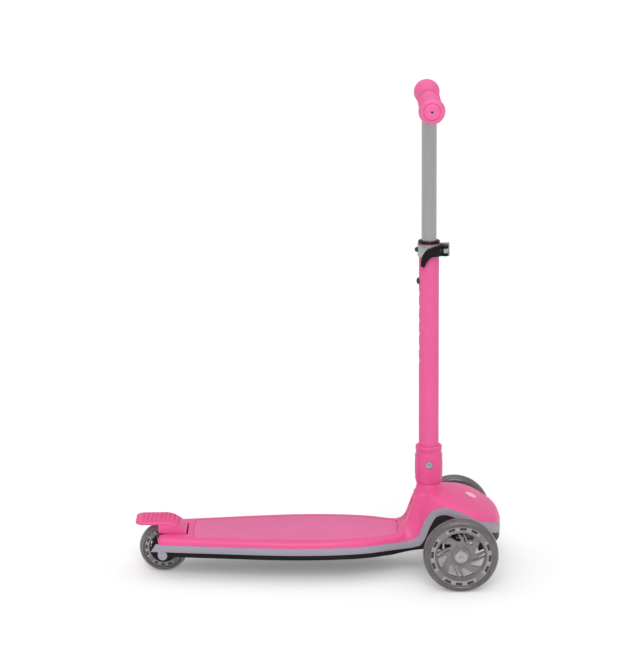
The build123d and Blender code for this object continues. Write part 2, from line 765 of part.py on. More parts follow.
def lean_bush():
    """Rubber torsion bush that brings the beam back level."""
    half = beam_depth / 2 + 1
    bush = rod_x(front_axle_x - half, front_axle_x + half, 0, lean_axis_z, lean_bush_r)
    return bush - rod_x(front_axle_x - 60, front_axle_x + 60, 0, lean_axis_z, pivot_bolt_r + running)


def kingpins():
    group = []
    low = front_r - knuckle_height / 2 - side_play - 6
    high = front_r + knuckle_height / 2 + side_play + 6
    for side in (-1, 1):
        pin = rod_z(front_axle_x, side * kingpin_y, low - 2.5, high, kingpin_r)
        group.append(pin + rod_z(front_axle_x, side * kingpin_y, high, high + 3, 7))
    return Compound(children=group)


def pivot_bolt():
    x0 = front_axle_x - tunnel_rear - wall
    x1 = front_axle_x + tunnel_front + wall
    head = hex_x(x0 - 4.5, x0, 0, lean_axis_z, 12.0)
    return head + rod_x(x0, x1 + 8.5, 0, lean_axis_z, pivot_bolt_r)


def pivot_nut():
    x1 = front_axle_x + tunnel_front + wall
    return hex_x(x1, x1 + 7, 0, lean_axis_z, 13.0) - rod_x(x1 - 1, x1 + 20, 0, lean_axis_z, pivot_bolt_r)


def knuckle(side):
    low = front_r - knuckle_height / 2
    body = rod_z(front_axle_x, side * kingpin_y, low, low + knuckle_height, knuckle_r)
    face_y = wheel_y - hub_width / 2 - side_play
    ya, yb = sorted((side * kingpin_y, side * face_y))
    body = body + rod_y(front_axle_x, ya, yb, front_r, axle_boss_outer_r)
    pin_x = front_axle_x - knuckle_arm
    arm = block(pin_x, front_axle_x, side * kingpin_y - 4.4, side * kingpin_y + 4.4, arm_z, arm_z + 6)
    body = body + (arm + rod_z(pin_x, side * kingpin_y, arm_z, arm_z + 6, 5.2))
    body = body - rod_z(front_axle_x, side * kingpin_y, 0, 200, kingpin_r + running)
    ya, yb = sorted((side * (kingpin_y + kingpin_r + 2), side * (face_y + 5)))
    body = body - rod_y(front_axle_x, ya, yb, front_r, axle_r)
    return body - rod_z(pin_x, side * kingpin_y, 0, 200, steer_pin_r)


def steer_pin(side):
    pin_x = front_axle_x - knuckle_arm
    top = tie_rod_z + 3 + 1.5
    return rod_z(pin_x, side * kingpin_y, arm_z, top, steer_pin_r)


def front_axle(side):
    face_y = wheel_y + hub_width / 2 + side_play
    inner_y = kingpin_y + kingpin_r + 2
    ya, yb = sorted((side * inner_y, side * face_y))
    shank = rod_y(front_axle_x, ya, yb, front_r, axle_r)
    ya, yb = sorted((side * face_y, side * (face_y + hub_cap_thick)))
    head = rod_y(front_axle_x, ya, yb, front_r, hub_cap_r)
    ya, yb = sorted((side * (face_y + 1.4), side * (face_y + 5)))
    return shank + head - hex_y(front_axle_x, ya, yb, front_r, 5.0)


def tie_rod():
    """Flat bar with a slot at each steering pin and one at the deck's drive pin."""
    x = front_axle_x - knuckle_arm
    low = tie_rod_z - 3
    bar = block(x - 4, x + 4, -kingpin_y, kingpin_y, low, low + 6)
    for y in (-kingpin_y, 0, kingpin_y):
        bar = bar + rod_z(x, y, low, low + 6, tie_boss_r)
    for y in (-kingpin_y, kingpin_y):
        bar = bar - rod_z(x, y, 0, 200, steer_pin_r + tie_rod_slack)
    return bar - rod_z(x, 0, 0, 200, drive_pin_r + tie_rod_slack)


def wheel_tyre(x, y, outer, depth):
    half = tyre_width / 2
    rim = outer - depth
    shoulder = rim + 3.0
    side = Line((rim, -half + 2.5), (shoulder, -half))
    crown = ThreePointArc((shoulder, -half), (outer, 0), (shoulder, half))
    back = Polyline((shoulder, half), (rim, half - 2.5), (rim, -half + 2.5))
    return Pos(x, y, outer) * revolve(make_face([side, crown, back]), Axis.Y, 360)


def web_point(share, angle, inner_rim):
    """Place in the wheel's plane, from the share of the way out and the angle from the top."""
    radius = hub_r + share * (inner_rim - 1.0 - hub_r)
    return (radius * math.sin(math.radians(angle)), radius * math.cos(math.radians(angle)))


def wheel_core(x, y, outer, depth, rim_thick):
    """Hub, pierced web and deep rim in one moulding."""
    rim = outer - depth
    half = tyre_width / 2 - 1.5
    inner_rim = rim - rim_thick
    core = pipe_y(0, -half, half, 0, rim, inner_rim)
    core = core + rod_y(0, -web_half, web_half, 0, inner_rim + 1)
    core = core + rod_y(0, -hub_width / 2, hub_width / 2, 0, hub_r)
    for window in web_windows:
        outline = Polyline(*[web_point(share, angle, inner_rim) for share, angle in window], close=True)
        cutter = Pos(0, web_half + 1, 0) * extrude(Plane.XZ * make_face(outline), 2 * web_half + 2)
        for group in range(spoke_groups):
            core = core - Rot(0, 360 / spoke_groups * group, 0) * cutter
    for strip in led_arcs(rim):
        core = core - strip
    core = core - rod_y(0, -half - 1, half + 1, 0, 8.0)
    pocket = bearing_od / 2
    core = core - rod_y(0, 1.0, half + 1, 0, pocket) - rod_y(0, -half - 1, -1.0, 0, pocket)
    return Pos(x, y, outer) * core


def led_arcs(rim):
    """Curved strips of lights let into the rim from face to face."""
    half = tyre_width / 2 - 1.5
    high = rim - led_inset
    low = high - led_depth
    profile = make_face(Polyline((low, -half), (high, -half), (high, half), (low, half), close=True))
    strip = revolve(profile, Axis.Y, led_arc_deg)
    step = 360 / spoke_groups
    return [Rot(0, step * index + led_start_deg, 0) * strip for index in range(spoke_groups)]


def wheel_leds(x, y, outer, depth):
    return Compound(children=[Pos(x, y, outer) * strip for strip in led_arcs(outer - depth)])


def wheel_bearings(x, y, outer):
    group = []
    for side in (-1, 1):
        ya, yb = sorted((side * 1.0, side * (1.0 + bearing_width)))
        ring = pipe_y(x, y + ya, y + yb, outer, bearing_od / 2, bearing_bore / 2)
        groove = pipe_y(x, y + side * 7.6 - 0.6, y + side * 7.6 + 0.6, outer, 9.3, 5.9)
        group.append(ring - groove)
    return Compound(children=group)


def wheel_spacer(x, y, outer):
    return pipe_y(x, y - 1.0, y + 1.0, outer, 6.0, bearing_bore / 2)


def rear_axle_bolt():
    edge = cheek_gap + cheek_thick
    shank = rod_y(rear_axle_x, -edge, edge + 7.5, rear_r, axle_r)
    return shank + rod_y(rear_axle_x, -edge - 4.5, -edge, rear_r, 6.5)


def rear_axle_nut():
    edge = cheek_gap + cheek_thick
    return hex_y(rear_axle_x, edge, edge + 6.5, rear_r, 13.0) - rod_y(rear_axle_x, 0, 60, rear_r, axle_r)


def rear_axle_sleeves():
    """Spacers between the wheel's bearings and the fork cheeks."""
    group = []
    for side in (-1, 1):
        ya, yb = sorted((side * (hub_width / 2 + side_play), side * cheek_gap))
        group.append(pipe_y(rear_axle_x, ya, yb, rear_r, 6.0, axle_r))
    return Compound(children=group)


def pedal_outline(thick):
    top = [
        (pedal_rear_x, pedal_top_z),
        (rear_axle_x + 7, pedal_top_z),
        (rear_axle_x + 20, pedal_top_z - 4.5),
        (slot_x - 2.0, deck_top_z + 2.5),
    ]
    low = [(x, z - thick) for x, z in reversed(top)]
    return make_face(Polyline(*top, *low, close=True))


def brake_pedal():
    plate = Pos(0, pedal_half, 0) * extrude(Plane.XZ * pedal_outline(4.0), 2 * pedal_half)
    skirt = make_face(Polyline(
        (rear_x - 1, pedal_top_z - 2),
        (rear_axle_x + 7, pedal_top_z - 2),
        (rear_axle_x + 20, pedal_top_z - 6.5),
        (slot_x - 2.0, deck_top_z + 0.5),
        (hinge_x + lug_r, pedal_hinge_z),
        (hinge_x - lug_r, pedal_hinge_z),
        (rear_x - 1, deck_top_z + 0.5),
        close=True))
    for side in (-1, 1):
        ya = side * pedal_half if side > 0 else -pedal_half + skirt_thick
        plate = plate + Pos(0, ya, 0) * extrude(Plane.XZ * skirt, skirt_thick)
        ya, yb = sorted((side * pedal_half, side * (pedal_half - skirt_thick)))
        plate = plate + rod_y(hinge_x, ya, yb, pedal_hinge_z, lug_r)
    return plate - rod_y(hinge_x, -60, 60, pedal_hinge_z, pedal_pin_r + running)


def brake_pad():
    pad = block(rear_axle_x - 12, rear_axle_x + 7, -8, 8, rear_r, pedal_top_z - 4)
    return pad - rod_y(rear_axle_x, -20, 20, rear_r, rear_r + pad_gap)


def pedal_pins():
    """Two stub pins pressed through the fork cheeks."""
    inner = rod_y(hinge_x, cheek_gap - 1.0, pedal_half + 1.2, pedal_hinge_z, pedal_pin_r)
    return Compound(children=[inner, mirror(inner, Plane.XZ)])


def pedal_springs():
    """Close-wound torsion springs on the pedal's pin."""
    group = []
    start = cheek_gap + cheek_thick + 0.8
    for side in (-1, 1):
        for turn in range(3):
            y = side * (start + turn * 1.3)
            coil = Pos(hinge_x, y, pedal_hinge_z) * Rot(90, 0, 0) * Torus(pedal_pin_r + 0.65, 0.55)
            group.append(coil)
    return Compound(children=group)


def cowl_badge():
    """Plain oval badge let into the cowl's top."""
    return Pos(badge_x, 0, badge_z) * Rot(0, badge_tilt, 0) * extrude(Ellipse(9.0, 7.5), 1.0)


sub_parts = {
    "deck_shell": deck_shell() - cowl_badge(),
    "deck_pad": deck_pad(),
    "side_band": side_band(),
    "chassis_tray": chassis_tray(),
    "tray_screws": tray_screws(),
    "cowl_badge": cowl_badge(),
    "socket_tube": socket_tube(),
    "socket_screws": socket_screws(),
    "lock_collar": lock_collar(),
    "lock_screw": lock_screw(),
    "lock_nut": lock_nut(),
    "column_tube": column_tube(),
    "column_bush": column_bush(),
    "clamp_collar": clamp_collar(),
    "clamp_rivet": clamp_rivet(),
    "clamp_bolt": clamp_bolt(),
    "clamp_nut": clamp_nut(),
    "cam_pin": cam_pin(),
    "clamp_lever": clamp_lever(),
    "tbar_tube": tbar_tube(),
    "tbar_guide": tbar_guide(),
    "cross_bar": cross_bar(),
    "tee_cover": tee_cover(),
    "grip_left": grip(1),
    "grip_right": grip(-1),
    "snap_button": snap_button(),
    "button_spring": button_spring(),
    "pivot_bolt": pivot_bolt(),
    "pivot_nut": pivot_nut(),
    "axle_beam": axle_beam(),
    "lean_bush": lean_bush(),
    "kingpins": kingpins(),
    "tie_rod": tie_rod(),
    "rear_axle_bolt": rear_axle_bolt(),
    "rear_axle_nut": rear_axle_nut(),
    "rear_axle_sleeves": rear_axle_sleeves(),
    "rear_tyre": wheel_tyre(rear_axle_x, 0, rear_r, rear_tyre_depth),
    "rear_core": wheel_core(rear_axle_x, 0, rear_r, rear_tyre_depth, rear_rim_thick),
    "rear_leds": wheel_leds(rear_axle_x, 0, rear_r, rear_tyre_depth),
    "rear_bearings": wheel_bearings(rear_axle_x, 0, rear_r),
    "rear_spacer": wheel_spacer(rear_axle_x, 0, rear_r),
    "brake_pedal": brake_pedal(),
    "brake_pad": brake_pad(),
    "pedal_pins": pedal_pins(),
    "pedal_springs": pedal_springs(),
}

for side_name, side in (("left", 1), ("right", -1)):
    y = side * wheel_y
    sub_parts[side_name + "_knuckle"] = knuckle(side)
    sub_parts[side_name + "_steer_pin"] = steer_pin(side)
    sub_parts[side_name + "_axle"] = front_axle(side)
    sub_parts[side_name + "_tyre"] = wheel_tyre(front_axle_x, y, front_r, front_tyre_depth)
    sub_parts[side_name + "_core"] = wheel_core(front_axle_x, y, front_r, front_tyre_depth, front_rim_thick)
    sub_parts[side_name + "_leds"] = wheel_leds(front_axle_x, y, front_r, front_tyre_depth)
    sub_parts[side_name + "_bearings"] = wheel_bearings(front_axle_x, y, front_r)

os.makedirs("parts", exist_ok=True)
for name, shape in sub_parts.items():
    export_step(shape, "parts/" + name + ".step")
    print(name)
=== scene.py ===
import json
import math
import bpy
from mathutils import Matrix, Vector


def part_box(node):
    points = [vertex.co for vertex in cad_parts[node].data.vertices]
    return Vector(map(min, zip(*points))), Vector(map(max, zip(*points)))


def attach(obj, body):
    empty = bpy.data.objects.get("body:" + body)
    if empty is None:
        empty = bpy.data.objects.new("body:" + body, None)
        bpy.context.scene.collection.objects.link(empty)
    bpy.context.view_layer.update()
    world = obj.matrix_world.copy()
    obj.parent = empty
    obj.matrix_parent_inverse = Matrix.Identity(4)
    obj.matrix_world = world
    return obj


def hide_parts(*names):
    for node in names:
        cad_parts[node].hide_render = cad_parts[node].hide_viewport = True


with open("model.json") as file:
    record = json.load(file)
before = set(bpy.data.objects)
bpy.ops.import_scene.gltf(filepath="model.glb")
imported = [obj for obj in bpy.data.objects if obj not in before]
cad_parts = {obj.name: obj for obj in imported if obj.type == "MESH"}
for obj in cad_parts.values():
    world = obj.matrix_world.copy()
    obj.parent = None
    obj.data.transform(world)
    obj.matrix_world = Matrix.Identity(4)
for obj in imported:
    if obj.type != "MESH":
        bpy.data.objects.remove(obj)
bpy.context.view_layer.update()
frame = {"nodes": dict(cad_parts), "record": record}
nodes = frame["nodes"]
mm = 0.001


def middle(node):
    low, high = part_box(node)
    return (low + high) / 2


# Places that everything else is measured from
frontAxle = middle("left_tyre")
rearAxle = middle("rear_tyre")
stemX = middle("column_tube").x
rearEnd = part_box("deck_shell")[0].x
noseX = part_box("deck_shell")[1].x
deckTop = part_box("deck_pad")[1].z
hingeX = middle("pedal_pins").x
hingeZ = middle("pedal_pins").z
slotX = hingeX + 5 * mm
waistX = stemX - 29.5 * mm
barZ = middle("cross_bar").z
clampZ = middle("clamp_collar").z
print("frame loaded, wheelbase", round(frontAxle.x - rearAxle.x, 4))


# Short ways to the mesh tools

def deselectAll():
    if bpy.context.mode != "OBJECT":
        bpy.ops.object.mode_set(mode="OBJECT")
    bpy.ops.object.select_all(action="DESELECT")


def pick(*objs):
    deselectAll()
    for obj in objs:
        obj.select_set(True)
    bpy.context.view_layer.objects.active = objs[0]


def editAll(obj, selectMode="VERT"):
    pick(obj)
    bpy.ops.object.mode_set(mode="EDIT")
    bpy.ops.mesh.select_mode(type=selectMode)
    bpy.ops.mesh.select_all(action="SELECT")


def endEdit():
    bpy.ops.object.mode_set(mode="OBJECT")


def selectFaces(obj, wanted):
    editAll(obj, "FACE")
    bpy.ops.mesh.select_all(action="DESELECT")
    endEdit()
    for face in obj.data.polygons:
        face.select = wanted(face)
    bpy.ops.object.mode_set(mode="EDIT")


def cleanMesh(obj, distance=0.01 * mm):
    editAll(obj)
    bpy.ops.mesh.remove_doubles(threshold=distance)
    bpy.ops.mesh.dissolve_degenerate(threshold=0.002 * mm)
    bpy.ops.mesh.select_all(action="SELECT")
    bpy.ops.mesh.normals_make_consistent(inside=False)
    endEdit()
    return obj


def capOpenings(obj):
    bpy.ops.mesh.select_all(action="DESELECT")
    bpy.ops.mesh.select_mode(type="EDGE")
    bpy.ops.mesh.select_non_manifold()
    bpy.ops.mesh.edge_face_add()
    endEdit()
    return cleanMesh(obj)


def modify(obj, kind, **settings):
    pick(obj)
    modifier = obj.modifiers.new(kind.title(), kind)
    for key, value in settings.items():
        setattr(modifier, key, value)
    bpy.ops.object.modifier_apply(modifier=modifier.name)
    return obj


def soften(obj, width, segments=2, angle=30):
    return modify(obj, "BEVEL", width=width, segments=segments, limit_method="ANGLE",
                  angle_limit=math.radians(angle), use_clamp_overlap=True)


def combine(obj, other, operation="DIFFERENCE"):
    modify(obj, "BOOLEAN", object=other, operation=operation, solver="EXACT")
    bpy.data.objects.remove(other)
    return obj


def joinTo(obj, *others):
    pick(obj, *others)
    bpy.ops.object.join()
    return obj


def copyTurned(obj, matrix, name):
    twin = obj.copy()
    twin.data = obj.data.copy()
    twin.name = name
    bpy.context.collection.objects.link(twin)
    twin.data.transform(matrix)
    if matrix.determinant() < 0:
        twin.data.flip_normals()
    return twin


def gridSkin(name, rows):
    # A grid whose rows of points are put where the piece's surface runs
    across, along = len(rows[0]), len(rows)
    deselectAll()
    bpy.ops.mesh.primitive_grid_add(x_subdivisions=across - 1, y_subdivisions=along - 1, size=1)
    obj = bpy.context.object
    obj.name = name
    for index, point in enumerate(p for row in rows for p in row):
        obj.data.vertices[index].co = point
    return obj


def ringOf(name, points):
    # A closed ring of edges through the points
    deselectAll()
    bpy.ops.mesh.primitive_circle_add(vertices=len(points), radius=1, fill_type="NOTHING")
    obj = bpy.context.object
    obj.name = name
    for vertex, point in zip(obj.data.vertices, points):
        vertex.co = point
    return obj


def slab(name, points, push):
    # The flat outline is filled and extruded along push
    obj = ringOf(name, points)
    editAll(obj)
    bpy.ops.mesh.edge_face_add()
    bpy.ops.mesh.extrude_region_move(TRANSFORM_OT_translate={"value": push})
    bpy.ops.mesh.select_all(action="SELECT")
    bpy.ops.mesh.normals_make_consistent(inside=False)
    endEdit()
    return obj


def slabUp(name, outline, low, high):
    return slab(name, [(x, y, low) for x, y in outline], (0, 0, high - low))


def slabAcross(name, outline, low, high):
    return slab(name, [(x, low, z) for x, z in outline], (0, high - low, 0))


def turned(name, profile, centre, axis="Y", steps=96, flip=1):
    # A closed profile of (radius, distance along the axis) is spun about the axis
    if axis == "Z":
        points = [(centre[0] + r, centre[1], centre[2] + d * flip) for r, d in profile]
        direction = (0, 0, 1)
    elif axis == "Y":
        points = [(centre[0] + r, centre[1] + d * flip, centre[2]) for r, d in profile]
        direction = (0, 1, 0)
    else:
        points = [(centre[0] + d * flip, centre[1], centre[2] + r) for r, d in profile]
        direction = (1, 0, 0)
    obj = ringOf(name, points)
    editAll(obj)
    bpy.ops.mesh.spin(steps=steps, angle=2 * math.pi, center=centre, axis=direction, use_auto_merge=True)
    endEdit()
    return cleanMesh(obj)


def roundedOutline(corners, radius, steps=5):
    # Corner points of a flat outline, each rounded as far as its sides allow
    outline = []
    count = len(corners)
    for index, corner in enumerate(corners):
        here = Vector(corner)
        before = Vector(corners[index - 1]) - here
        after = Vector(corners[(index + 1) % count]) - here
        reach = min(radius, before.length * 0.48, after.length * 0.48)
        start = here + before.normalized() * reach
        end = here + after.normalized() * reach
        for step in range(steps + 1):
            t = step / steps
            outline.append((1 - t) ** 2 * start + 2 * t * (1 - t) * here + t ** 2 * end)
    return [tuple(point) for point in outline]


def along(table, x):
    # Smooth height of a table of (place, value) at x, with no overshoot
    if x <= table[0][0]:
        return table[0][1]
    if x >= table[-1][0]:
        return table[-1][1]
    slopes = [(b[1] - a[1]) / (b[0] - a[0]) for a, b in zip(table, table[1:])]

    def tangent(index):
        if index == 0 or index == len(table) - 1:
            return slopes[0] if index == 0 else slopes[-1]
        left, right = slopes[index - 1], slopes[index]
        return 0.0 if left * right <= 0 else 2 * left * right / (left + right)
    for index in range(len(table) - 1):
        (xa, va), (xb, vb) = table[index], table[index + 1]
        if xa <= x <= xb:
            span = xb - xa
            t = (x - xa) / span
            return ((2 * t ** 3 - 3 * t ** 2 + 1) * va + (t ** 3 - 2 * t ** 2 + t) * span * tangent(index)
                    + (3 * t ** 2 - 2 * t ** 3) * vb + (t ** 3 - t ** 2) * span * tangent(index + 1))


def threadThrough(points, perSpan):
    # Smooth line through the points, closed off by mirrored points at both ends
    padded = [points[0]] + list(points) + [points[-1]]
    line = []
    for index in range(1, len(padded) - 2):
        p0, p1, p2, p3 = [Vector(p) for p in padded[index - 1:index + 3]]
        for step in range(perSpan):
            t = step / perSpan
            line.append(0.5 * (2 * p1 + (p2 - p0) * t + (2 * p0 - 5 * p1 + 4 * p2 - p3) * t ** 2
                               + (3 * p1 - p0 - 3 * p2 + p3) * t ** 3))
    line.append(Vector(points[-1]))
    return line


def easeIn(t):
    t = min(max(t, 0.0), 1.0)
    return t * t * (3 - 2 * t)


def finish(obj, body, slot, *replaced, smoothAngle=32, material=None):
    # Last steps of each piece: finish, shading, body and the nodes that it stands for
    obj.data.materials.clear()
    obj.data.materials.append(material or finishes[slot])
    for polygon in obj.data.polygons:
        polygon.material_index = 0
    pick(obj)
    bpy.ops.object.transform_apply(location=True, rotation=True, scale=True)
    bpy.ops.object.shade_smooth_by_angle(angle=math.radians(smoothAngle))
    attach(obj, body)
    if replaced:
        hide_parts(*replaced)
    print("made", obj.name, len(obj.data.polygons), "faces")
    return obj


# Finishes

def newMaterial(name):
    material = bpy.data.materials.new(name)
    material.use_nodes = True
    tree = material.node_tree
    shader = tree.nodes["Principled BSDF"]
    place = tree.nodes.new("ShaderNodeTexCoord")
    return material, tree, shader, place.outputs["Object"]


def noiseAt(tree, place, scale, detail=3.0, rough=0.5, stretch=None):
    if stretch:
        mapping = tree.nodes.new("ShaderNodeMapping")
        mapping.inputs["Scale"].default_value = stretch
        tree.links.new(place, mapping.inputs["Vector"])
        place = mapping.outputs["Vector"]
    noise = tree.nodes.new("ShaderNodeTexNoise")
    noise.inputs["Scale"].default_value = scale
    noise.inputs["Detail"].default_value = detail
    noise.inputs["Roughness"].default_value = rough
    tree.links.new(place, noise.inputs["Vector"])
    return noise.outputs["Fac"]


def mixByNoise(tree, shader, factor, dark, light, low=0.3, high=0.7):
    ramp = tree.nodes.new("ShaderNodeValToRGB")
    ramp.color_ramp.elements[0].position = low
    ramp.color_ramp.elements[0].color = (*dark, 1)
    ramp.color_ramp.elements[1].position = high
    ramp.color_ramp.elements[1].color = (*light, 1)
    tree.links.new(factor, ramp.inputs["Fac"])
    tree.links.new(ramp.outputs["Color"], shader.inputs["Base Color"])
    return ramp


def roughnessRange(tree, shader, factor, low, high):
    spread = tree.nodes.new("ShaderNodeMapRange")
    spread.inputs["From Min"].default_value = 0.3
    spread.inputs["From Max"].default_value = 0.7
    spread.inputs["To Min"].default_value = low
    spread.inputs["To Max"].default_value = high
    tree.links.new(factor, spread.inputs["Value"])
    tree.links.new(spread.outputs["Result"], shader.inputs["Roughness"])


def bumpFrom(tree, shader, height, strength, distance):
    bump = tree.nodes.new("ShaderNodeBump")
    bump.inputs["Strength"].default_value = strength
    bump.inputs["Distance"].default_value = distance
    tree.links.new(height, bump.inputs["Height"])
    tree.links.new(bump.outputs["Normal"], shader.inputs["Normal"])


def mouldedPlastic(name, dark, light, rough, grain=1400, grainDepth=0.25, coat=0.0, drift=9):
    material, tree, shader, place = newMaterial(name)
    mixByNoise(tree, shader, noiseAt(tree, place, drift), dark, light)
    roughnessRange(tree, shader, noiseAt(tree, place, 55, 4), rough[0], rough[1])
    bumpFrom(tree, shader, noiseAt(tree, place, grain, 2), grainDepth, 0.05 * mm)
    shader.inputs["Coat Weight"].default_value = coat
    shader.inputs["Coat Roughness"].default_value = 0.12
    return material


def metal(name, dark, light, rough, stretch, grain=60, grainDepth=0.2):
    material, tree, shader, place = newMaterial(name)
    shader.inputs["Metallic"].default_value = 1.0
    drawn = noiseAt(tree, place, grain, 4, 0.6, stretch)
    mixByNoise(tree, shader, drawn, dark, light)
    roughnessRange(tree, shader, drawn, rough[0], rough[1])
    bumpFrom(tree, shader, drawn, grainDepth, 0.02 * mm)
    return material


def smokyPlastic(name, dark, light, rough, through):
    material, tree, shader, place = newMaterial(name)
    mixByNoise(tree, shader, noiseAt(tree, place, 18), dark, light)
    roughnessRange(tree, shader, noiseAt(tree, place, 80, 3), rough[0], rough[1])
    bumpFrom(tree, shader, noiseAt(tree, place, 240, 2), 0.2, 0.1 * mm)
    shader.inputs["Transmission Weight"].default_value = through
    shader.inputs["IOR"].default_value = 1.46
    return material


finishes = {
    "pink_shell": mouldedPlastic("pinkShell", (0.70, 0.075, 0.245), (0.74, 0.088, 0.27),
                                 (0.36, 0.44), coat=0.05),
    "pink_pad": mouldedPlastic("pinkPad", (0.66, 0.125, 0.30), (0.70, 0.14, 0.33), (0.55, 0.65), 700, 0.5),
    "pink_paint": mouldedPlastic("pinkPaint", (0.70, 0.095, 0.28), (0.74, 0.108, 0.30),
                                 (0.42, 0.50), 900, 0.2),
    "pink_grip": mouldedPlastic("pinkGrip", (0.74, 0.11, 0.30), (0.78, 0.125, 0.33), (0.45, 0.55), 1600, 0.3),
    "lilac_plastic": mouldedPlastic("lilacPlastic", (0.29, 0.265, 0.33), (0.32, 0.295, 0.36), (0.42, 0.50)),
    "black_plastic": mouldedPlastic("blackPlastic", (0.004, 0.003, 0.004), (0.008, 0.007, 0.008),
                                    (0.34, 0.46), grainDepth=0.35),
    "silver_tube": metal("silverTube", (0.33, 0.335, 0.335), (0.40, 0.405, 0.405), (0.30, 0.38),
                         (30, 30, 0.5)),
    "steel": metal("zincSteel", (0.34, 0.34, 0.35), (0.46, 0.46, 0.47), (0.26, 0.38), (1, 1, 1), 300),
    "black_steel": mouldedPlastic("blackSteel", (0.008, 0.008, 0.010), (0.016, 0.015, 0.018), (0.18, 0.28)),
    "smoky_tyre": smokyPlastic("smokyTyre", (0.17, 0.155, 0.162), (0.25, 0.228, 0.238), (0.10, 0.17), 0.60),
    "smoky_core": smokyPlastic("smokyCore", (0.165, 0.15, 0.156), (0.235, 0.217, 0.225), (0.16, 0.26), 0.06),
    "led": mouldedPlastic("lightStrip", (0.25, 0.23, 0.24), (0.33, 0.305, 0.32), (0.16, 0.24)),
    "bush_rubber": mouldedPlastic("bushRubber", (0.020, 0.019, 0.019), (0.035, 0.033, 0.033), (0.60, 0.75),
                                  500, 0.5),
    "badge": mouldedPlastic("badgeEnamel", (0.74, 0.44, 0.55), (0.80, 0.52, 0.62), (0.26, 0.34)),
    "spring_steel": metal("springSteel", (0.42, 0.42, 0.44), (0.55, 0.55, 0.57), (0.24, 0.34), (1, 1, 1),
                          400),
}
for quiet in ("pink_paint", "black_plastic", "lilac_plastic", "pink_shell"):
    finishes[quiet].node_tree.nodes["Principled BSDF"].inputs["Specular IOR Level"].default_value = 0.3
finishes["black_plastic"].node_tree.nodes["Principled BSDF"].inputs["Specular IOR Level"].default_value = 0.16
slotOf = {row["node"]: row["material_slot"] for row in frame["record"]["subparts"]}
for nodeName, node in nodes.items():
    node.data.materials.clear()
    node.data.materials.append(finishes[slotOf[nodeName]])
print("finishes made")


# Outline of the deck from above, and the lines that its skins follow
def deckAt(share):
    return rearEnd + share * (waistX - rearEnd)


deckPlan = {
    "halfRear": 52.5 * mm,
    "halfWidest": 78.5 * mm,
    "halfWaist": 44 * mm,
    "halfCowl": 81 * mm,
    "cornerRound": 6 * mm,
}
outline = [
    (deckAt(0.00), deckPlan["halfRear"]),
    (deckAt(0.11), deckPlan["halfRear"] + 6.5 * mm),
    (deckAt(0.26), deckPlan["halfWidest"] - 12 * mm),
    (deckAt(0.41), deckPlan["halfWidest"] - 4.5 * mm),
    (deckAt(0.56), deckPlan["halfWidest"]),
    (deckAt(0.71), deckPlan["halfWidest"] - 2 * mm),
    (deckAt(0.83), deckPlan["halfWidest"] - 10.5 * mm),
    (deckAt(0.93), deckPlan["halfWaist"] + 8 * mm),
    (waistX + 5 * mm, deckPlan["halfWaist"]),
    (stemX + 4.5 * mm, deckPlan["halfWaist"] + 9 * mm),
    (frontAxle.x - 14 * mm, deckPlan["halfCowl"] - 12 * mm),
    (frontAxle.x + 4 * mm, deckPlan["halfCowl"] - 4.5 * mm),
    (frontAxle.x + 24 * mm, deckPlan["halfCowl"]),
    (frontAxle.x + 42 * mm, deckPlan["halfCowl"] - 8 * mm),
    (frontAxle.x + 58 * mm, deckPlan["halfCowl"] - 26 * mm),
    (frontAxle.x + 66.5 * mm, deckPlan["halfCowl"] - 52 * mm),
    (noseX, 0.0),
    (frontAxle.x + 66.5 * mm, 52 * mm - deckPlan["halfCowl"]),
]
edgeLine = [p for p in threadThrough(outline, 40) if p.y >= 0]
edgeLine.append(Vector((noseX, 0.0)))


def edgeAt(x):
    for a, b in zip(edgeLine, edgeLine[1:]):
        if a.x <= x <= b.x and b.x > a.x:
            return a.y + (b.y - a.y) * (x - a.x) / (b.x - a.x)
    return edgeLine[0].y if x < edgeLine[0].x else 0.0


# Height of the seam between shell and band, and between band and tray
shellSeam = [
    (waistX - 22 * mm, 58.5 * mm), (waistX - 4 * mm, 59.5 * mm), (stemX - 18 * mm, 67.5 * mm),
    (stemX - 9.5 * mm, 92.5 * mm), (stemX + 6.5 * mm, 114.5 * mm), (frontAxle.x - 20 * mm, 120.7 * mm),
    (frontAxle.x, 116.7 * mm), (frontAxle.x + 24 * mm, 107 * mm), (frontAxle.x + 56 * mm, 93.5 * mm),
    (frontAxle.x + 66 * mm, 85.5 * mm), (noseX, 79 * mm),
]
traySeam = [
    (waistX - 24 * mm, 46.5 * mm), (waistX - 4 * mm, 47 * mm), (stemX - 16 * mm, 51 * mm),
    (stemX - 8.5 * mm, 61.5 * mm), (stemX + 0.5 * mm, 85 * mm), (stemX + 12 * mm, 104 * mm),
    (frontAxle.x - 20 * mm, 108.5 * mm), (frontAxle.x + 4 * mm, 102 * mm), (frontAxle.x + 30 * mm, 90 * mm),
    (frontAxle.x + 58 * mm, 75 * mm), (noseX, 67 * mm),
]
